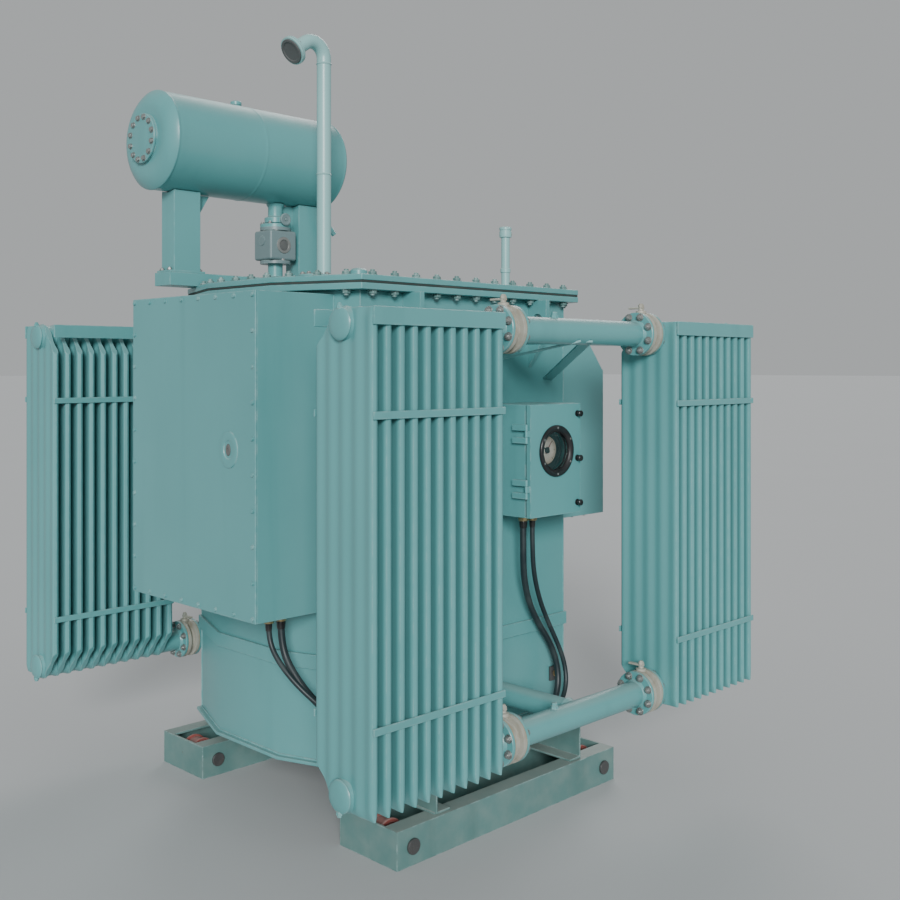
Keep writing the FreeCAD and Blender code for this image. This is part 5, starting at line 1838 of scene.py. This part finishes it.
@dataclass
class CoverFittings(Assembly):
    """Explosion vent, thermometer pocket and air hood on the cover."""

    vent_foot: float = 0.062
    vent_pipe: float = 0.027
    bend: float = 0.055
    droop: float = 35
    snout: float = 0.062
    bend_steps: int = 12
    stem: float = 0.018
    hood_neck: float = 0.024

    def build(self) -> None:
        """Make each fitting."""
        self._vent()
        self._pocket()
        self._hood()

    def _foot(self, x: float, y: float, radius: float, pipe: float) -> list[Piece]:
        """Round foot flange with its bolts.

        Args:
            x: Place along the tank.
            y: Place across the tank.
            radius: Radius of the flange.
            pipe: Radius of the pipe on it.

        Returns:
            The flange and its bolts.
        """
        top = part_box("tank_cover")[1].z
        flange = Bench.lathe("foot_flange", (x, y, top), UP,
                             [(0, 0.01), (0, radius), (0.012, radius), (0.014, radius - 0.002),
                              (0.014, pipe + 0.005), (0.018, pipe + 0.002),
                              (0.022, pipe - 0.001)], 36)
        places = Bench.ring((x, y, top + 0.0135), UP, (radius + pipe) / 2 + 0.003, 6)
        bolts = self.fasteners.row("foot_flange_bolts", 0.0085, places, BOLT_STEEL, 0.002)
        return [*self.coat(SEA_GREEN, flange), bolts]

    def _vent(self) -> None:
        """Standpipe turned over at its top, with mouth flanges and diaphragm."""
        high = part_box("vent_pipe")[1]
        cover_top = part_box("tank_cover")[1].z
        foot_radius, pipe, bend = self.vent_foot, self.vent_pipe, self.bend
        x = high.x - foot_radius
        knee = high.z - pipe - bend
        drop = math.radians(self.droop)
        centre = Vector((x - bend, 0, knee))
        route = [(x, 0, cover_top + 0.002), (x, 0, knee)]
        for index in range(1, self.bend_steps + 1):
            angle = (math.pi / 2 + drop) * index / self.bend_steps
            route.append(tuple(centre + Vector((math.cos(angle), 0, math.sin(angle))) * bend))
        heading = Vector((-math.cos(drop), 0, -math.sin(drop)))
        tip = Vector(route[-1]) + heading * self.snout
        route.append(tuple(tip))
        tube = Bench.sweep("vent_tube", route, pipe, "POLY", 8)
        beads = [Bench.lathe("vent_bead", (x, 0, z), UP,
                             [(-0.005, pipe - 0.001), (0, pipe + 0.003),
                              (0.005, pipe - 0.001)], 32)
                 for z in (cover_top + 0.42, knee - 0.02)]
        mouth = Bench.lathe("vent_mouth", tip, heading,
                            [(-0.006, pipe + 0.001), (-0.001, pipe + 0.006), (0, 0.053),
                             (0.007, 0.054), (0.0075, 0.052), (0.0085, 0.052), (0.009, 0.054),
                             (0.016, 0.053),
                             (0.0165, 0.044), (0.0165, 0)], 48)
        self.coat(PALE_GREEN, tube, mouth, *beads)
        bolts = self.fasteners.row("vent_mouth_bolts", 0.006,
                                   Bench.ring(tuple(tip), tuple(-heading), 0.046, 8), BOLT_STEEL)
        pieces = [tube, mouth, bolts, *beads, *self._foot(x, 0, foot_radius, pipe)]
        self.assemble("vent_pipe_bent", pieces, "vent_pipe")
        pane = Bench.lathe("vent_diaphragm_pane", tip + heading * 0.016, heading,
                           [(0, 0.047), (0.0045, 0.047), (0.006, 0.045), (0.006, 0.037),
                            (0.0035, 0.034), (0.0025, 0.015), (0.0025, 0)], 48)
        self.hand_over(pane, "diaphragm_dark", finish=DIAPHRAGM, replaces=("vent_diaphragm",))

    def _pocket(self) -> None:
        """Thermometer pocket with its sleeve and capped head."""
        low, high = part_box("thermometer_pocket")
        x, y = (low.x + high.x) / 2, (low.y + high.y) / 2
        foot, stem = (high.x - low.x) / 2, self.stem
        tall = high.z - low.z
        tube = Bench.lathe("pocket_tube", (x, y, low.z), UP,
                           [(0.010, stem), (0.09, stem), (0.092, stem + 0.0035),
                            (0.108, stem + 0.0035), (0.110, stem), (tall - 0.044, stem),
                            (tall - 0.044, 0.024),
                            (tall - 0.041, 0.026), (tall - 0.020, 0.026), (tall - 0.018, 0.0235),
                            (tall - 0.014, 0.0235), (tall - 0.012, 0.026), (tall - 0.003, 0.026),
                            (tall, 0.022), (tall, 0)], 32)
        gland = Bench.lathe("pocket_gland", (x + 0.022, y, high.z - 0.030), ALONG,
                            [(0, 0.009), (0.010, 0.009), (0.013, 0.006), (0.0135, 0)], 6)
        self.assemble("thermometer_pocket_turned",
                      [*self.coat(PALE_GREEN, tube), *self.coat(BRASS, gland),
                       *self._foot(x, y, foot, stem)], "thermometer_pocket")

    def _hood(self) -> None:
        """Air-release hood with a skirted cap."""
        low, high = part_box("air_release_hood")
        x, y = (low.x + high.x) / 2, (low.y + high.y) / 2
        foot, tall, neck = (high.x - low.x) / 2, high.z - low.z, self.hood_neck
        hood = Bench.lathe("hood", (x, y, low.z), UP,
                           [(0.010, neck), (tall * 0.42, neck), (tall * 0.42, neck + 0.010),
                            (tall * 0.52, neck + 0.010), (tall * 0.86, neck + 0.009),
                            (tall * 0.96, neck), (tall, 0.010), (tall, 0)], 40)
        self.paint.dress(hood, SEA_GREEN)
        self.assemble("air_release_hood_turned", [hood, *self._foot(x, y, foot, neck)],
                      "air_release_hood")


@dataclass
class Drain(Assembly):
    """Flanged gate valve low on the +X end, with its handwheel."""

    body_at: float = 0.060
    bolts: int = 8
    spokes: int = 4
    wheel: float = 0.0435
    grip: float = 0.0058

    def build(self) -> None:
        """Make the valve body, its flanges, bonnet and wheel."""
        low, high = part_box("drain_valve")
        flange = (high.y - low.y) / 2
        level = low.z + flange
        wall, end = low.x, high.x - 0.005
        body_at, reach = self.body_at, end - wall
        body = Bench.lathe("drain_body", (wall, 0, level), ALONG,
                           [(0, 0.02), (0, 0.045), (0.006, 0.042), (0.012, 0.028),
                            (body_at - 0.004, 0.028), (body_at - 0.004, flange),
                            (body_at + 0.013, flange), (body_at + 0.014, flange - 0.001),
                            (body_at + 0.018, 0.036), (body_at + 0.034, 0.042),
                            (body_at + 0.056, 0.042), (reach - 0.018, 0.036),
                            (reach - 0.015, flange - 0.001), (reach - 0.014, flange),
                            (reach - 0.001, flange), (reach, flange - 0.001), (reach, 0.028),
                            (reach - 0.040, 0.026), (reach - 0.040, 0)], 48)
        middle = wall + body_at + 0.045
        bonnet = Bench.lathe("drain_bonnet", (middle, 0, level), UP,
                             [(0.030, 0.034), (0.046, 0.030), (0.047, 0.033), (0.055, 0.033),
                              (0.056, 0.020), (0.076, 0.016), (0.078, 0.0075), (0.101, 0.0075),
                              (0.102, 0)], 28)
        self.coat(VALVE_GREY, body, bonnet)
        rim_z = high.z - 0.006
        Bench.clear()
        bpy.ops.mesh.primitive_torus_add(major_radius=self.wheel, minor_radius=self.grip,
                                         major_segments=48, minor_segments=12,
                                         location=(middle, 0, rim_z))
        rim = Bench.settle(bpy.context.object)
        spokes = []
        for index in range(self.spokes):
            angle = FULL_TURN * (index + 0.5) / self.spokes
            tip = (middle + 0.043 * math.cos(angle), 0.043 * math.sin(angle), rim_z)
            spokes.append(Bench.sweep("spoke", [(middle, 0, rim_z - 0.002), tip], 0.004,
                                      "POLY", 3))
        hub = Bench.lathe("wheel_hub", (middle, 0, rim_z - 0.006), UP,
                          [(0, 0.007), (0, 0.012), (0.010, 0.012), (0.0115, 0.009),
                           (0.0118, 0)], 20)
        for part in (rim, hub, *spokes):
            Bench.smooth(part)
            self.paint.dress(part, OXIDE_RED)
        places = [place for at, way in ((wall + body_at + 0.0135, 1), (end - 0.0145, -1)) for place
                  in Bench.ring((at, 0, level), (way, 0, 0), flange - 0.012, self.bolts)]
        bolts = self.fasteners.row("drain_bolts", 0.0105, places, BOLT_STEEL)
        self.assemble("drain_valve_flanged", [body, bonnet, rim, hub, *spokes, bolts],
                      "drain_valve", slot="valve_grey")


@dataclass
class Base(Assembly):
    """Channel base with its flanged rollers and axles."""

    edge: float = 0.0028
    tread_depth: float = 0.008
    bead: float = 0.005

    def build(self) -> None:
        """Make the channels, the rollers and the axles."""
        for face in Face:
            self.rounded(f"{face.word}_base_channels", self.edge, "base_paint", BASE_GREEN)
            for side in Side:
                self._roller(face, side)
        self.rounded("cross_channels", self.edge, "base_paint", BASE_GREEN)
        axles = Bench.rounded("roller_axles", "roller_axles_turned", 0.0025)
        self.hand_over(axles, "zinc_steel", finish=AXLE_STEEL)
        self._cross_beads()

    def _roller(self, face: Face, side: Side) -> None:
        """Cast roller with flanges, tread, dished webs and a grease boss.

        Args:
            face: The face of the tank.
            side: The side of the middle.
        """
        node = f"{face.word}_{side.word}_roller"
        low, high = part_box(node)
        middle = (low + high) / 2
        rim, wide = (high.z - low.z) / 2, high.y - low.y
        tread = rim - self.tread_depth
        half = [(0.012, 0.0151), (0.012, 0.0155), (0.001, 0.0155), (0.000, 0.017), (0.000, 0.026),
                (0.006, 0.030), (0.006, tread - 0.010), (0.000, tread - 0.004),
                (0.000, rim - 0.002), (0.002, rim), (0.008, rim), (0.010, rim - 0.002),
                (0.012, tread)]
        profile = half + [(wide - along, radius) for along, radius in reversed(half)]
        wheel = Bench.lathe(f"{node}_cast", (middle.x, low.y, middle.z), (0, 1, 0), profile, 56)
        boss = Bench.lathe("grease_boss", (middle.x + 0.021, low.y + 0.001, middle.z), FORWARD,
                           [(0, 0.0035), (0.001, 0.0035), (0.0018, 0.002), (0.0018, 0)], 12)
        self.assemble(f"{node}_cast", [wheel, boss], node, slot="oxide_red_paint", body=node,
                      finish=OXIDE_RED)

    def _cross_beads(self) -> None:
        """Weld beads where the cross channels sit on the beams."""
        low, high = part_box("cross_channels")
        pieces = []
        for face in Face:
            beam_low, beam_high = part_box(f"{face.word}_base_channels")
            for side in Side:
                edge = high.x if side is Side.RIGHT else low.x
                route = [(edge, y, beam_high.z + 0.001)
                         for y in (beam_low.y + 0.02, beam_high.y - 0.02)]
                pieces.append(Bench.sweep("cross_bead", route, self.bead, "POLY", 2))
        self.assemble("cross_channel_beads", pieces, slot="base_paint", finish=BASE_GREEN)


def main() -> None:
    """Load the frame, build every sub-assembly in order and paint the CAD nodes still shown."""
    logging.basicConfig(level=logging.INFO, format="%(name)s: %(message)s")
    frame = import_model()
    paint = Paintbox()
    Studio().build()
    for assembly in (Wiring, Radiators, Pipework, Tank, CableBoxes, Cabinet, Conservator,
                     CoverFittings, Drain, Base):
        assembly(paint).build()
    for node in frame["nodes"].values():
        if not node.hide_render:
            paint.dress(node, SEA_GREEN)


if __name__ == "__main__":
    main()
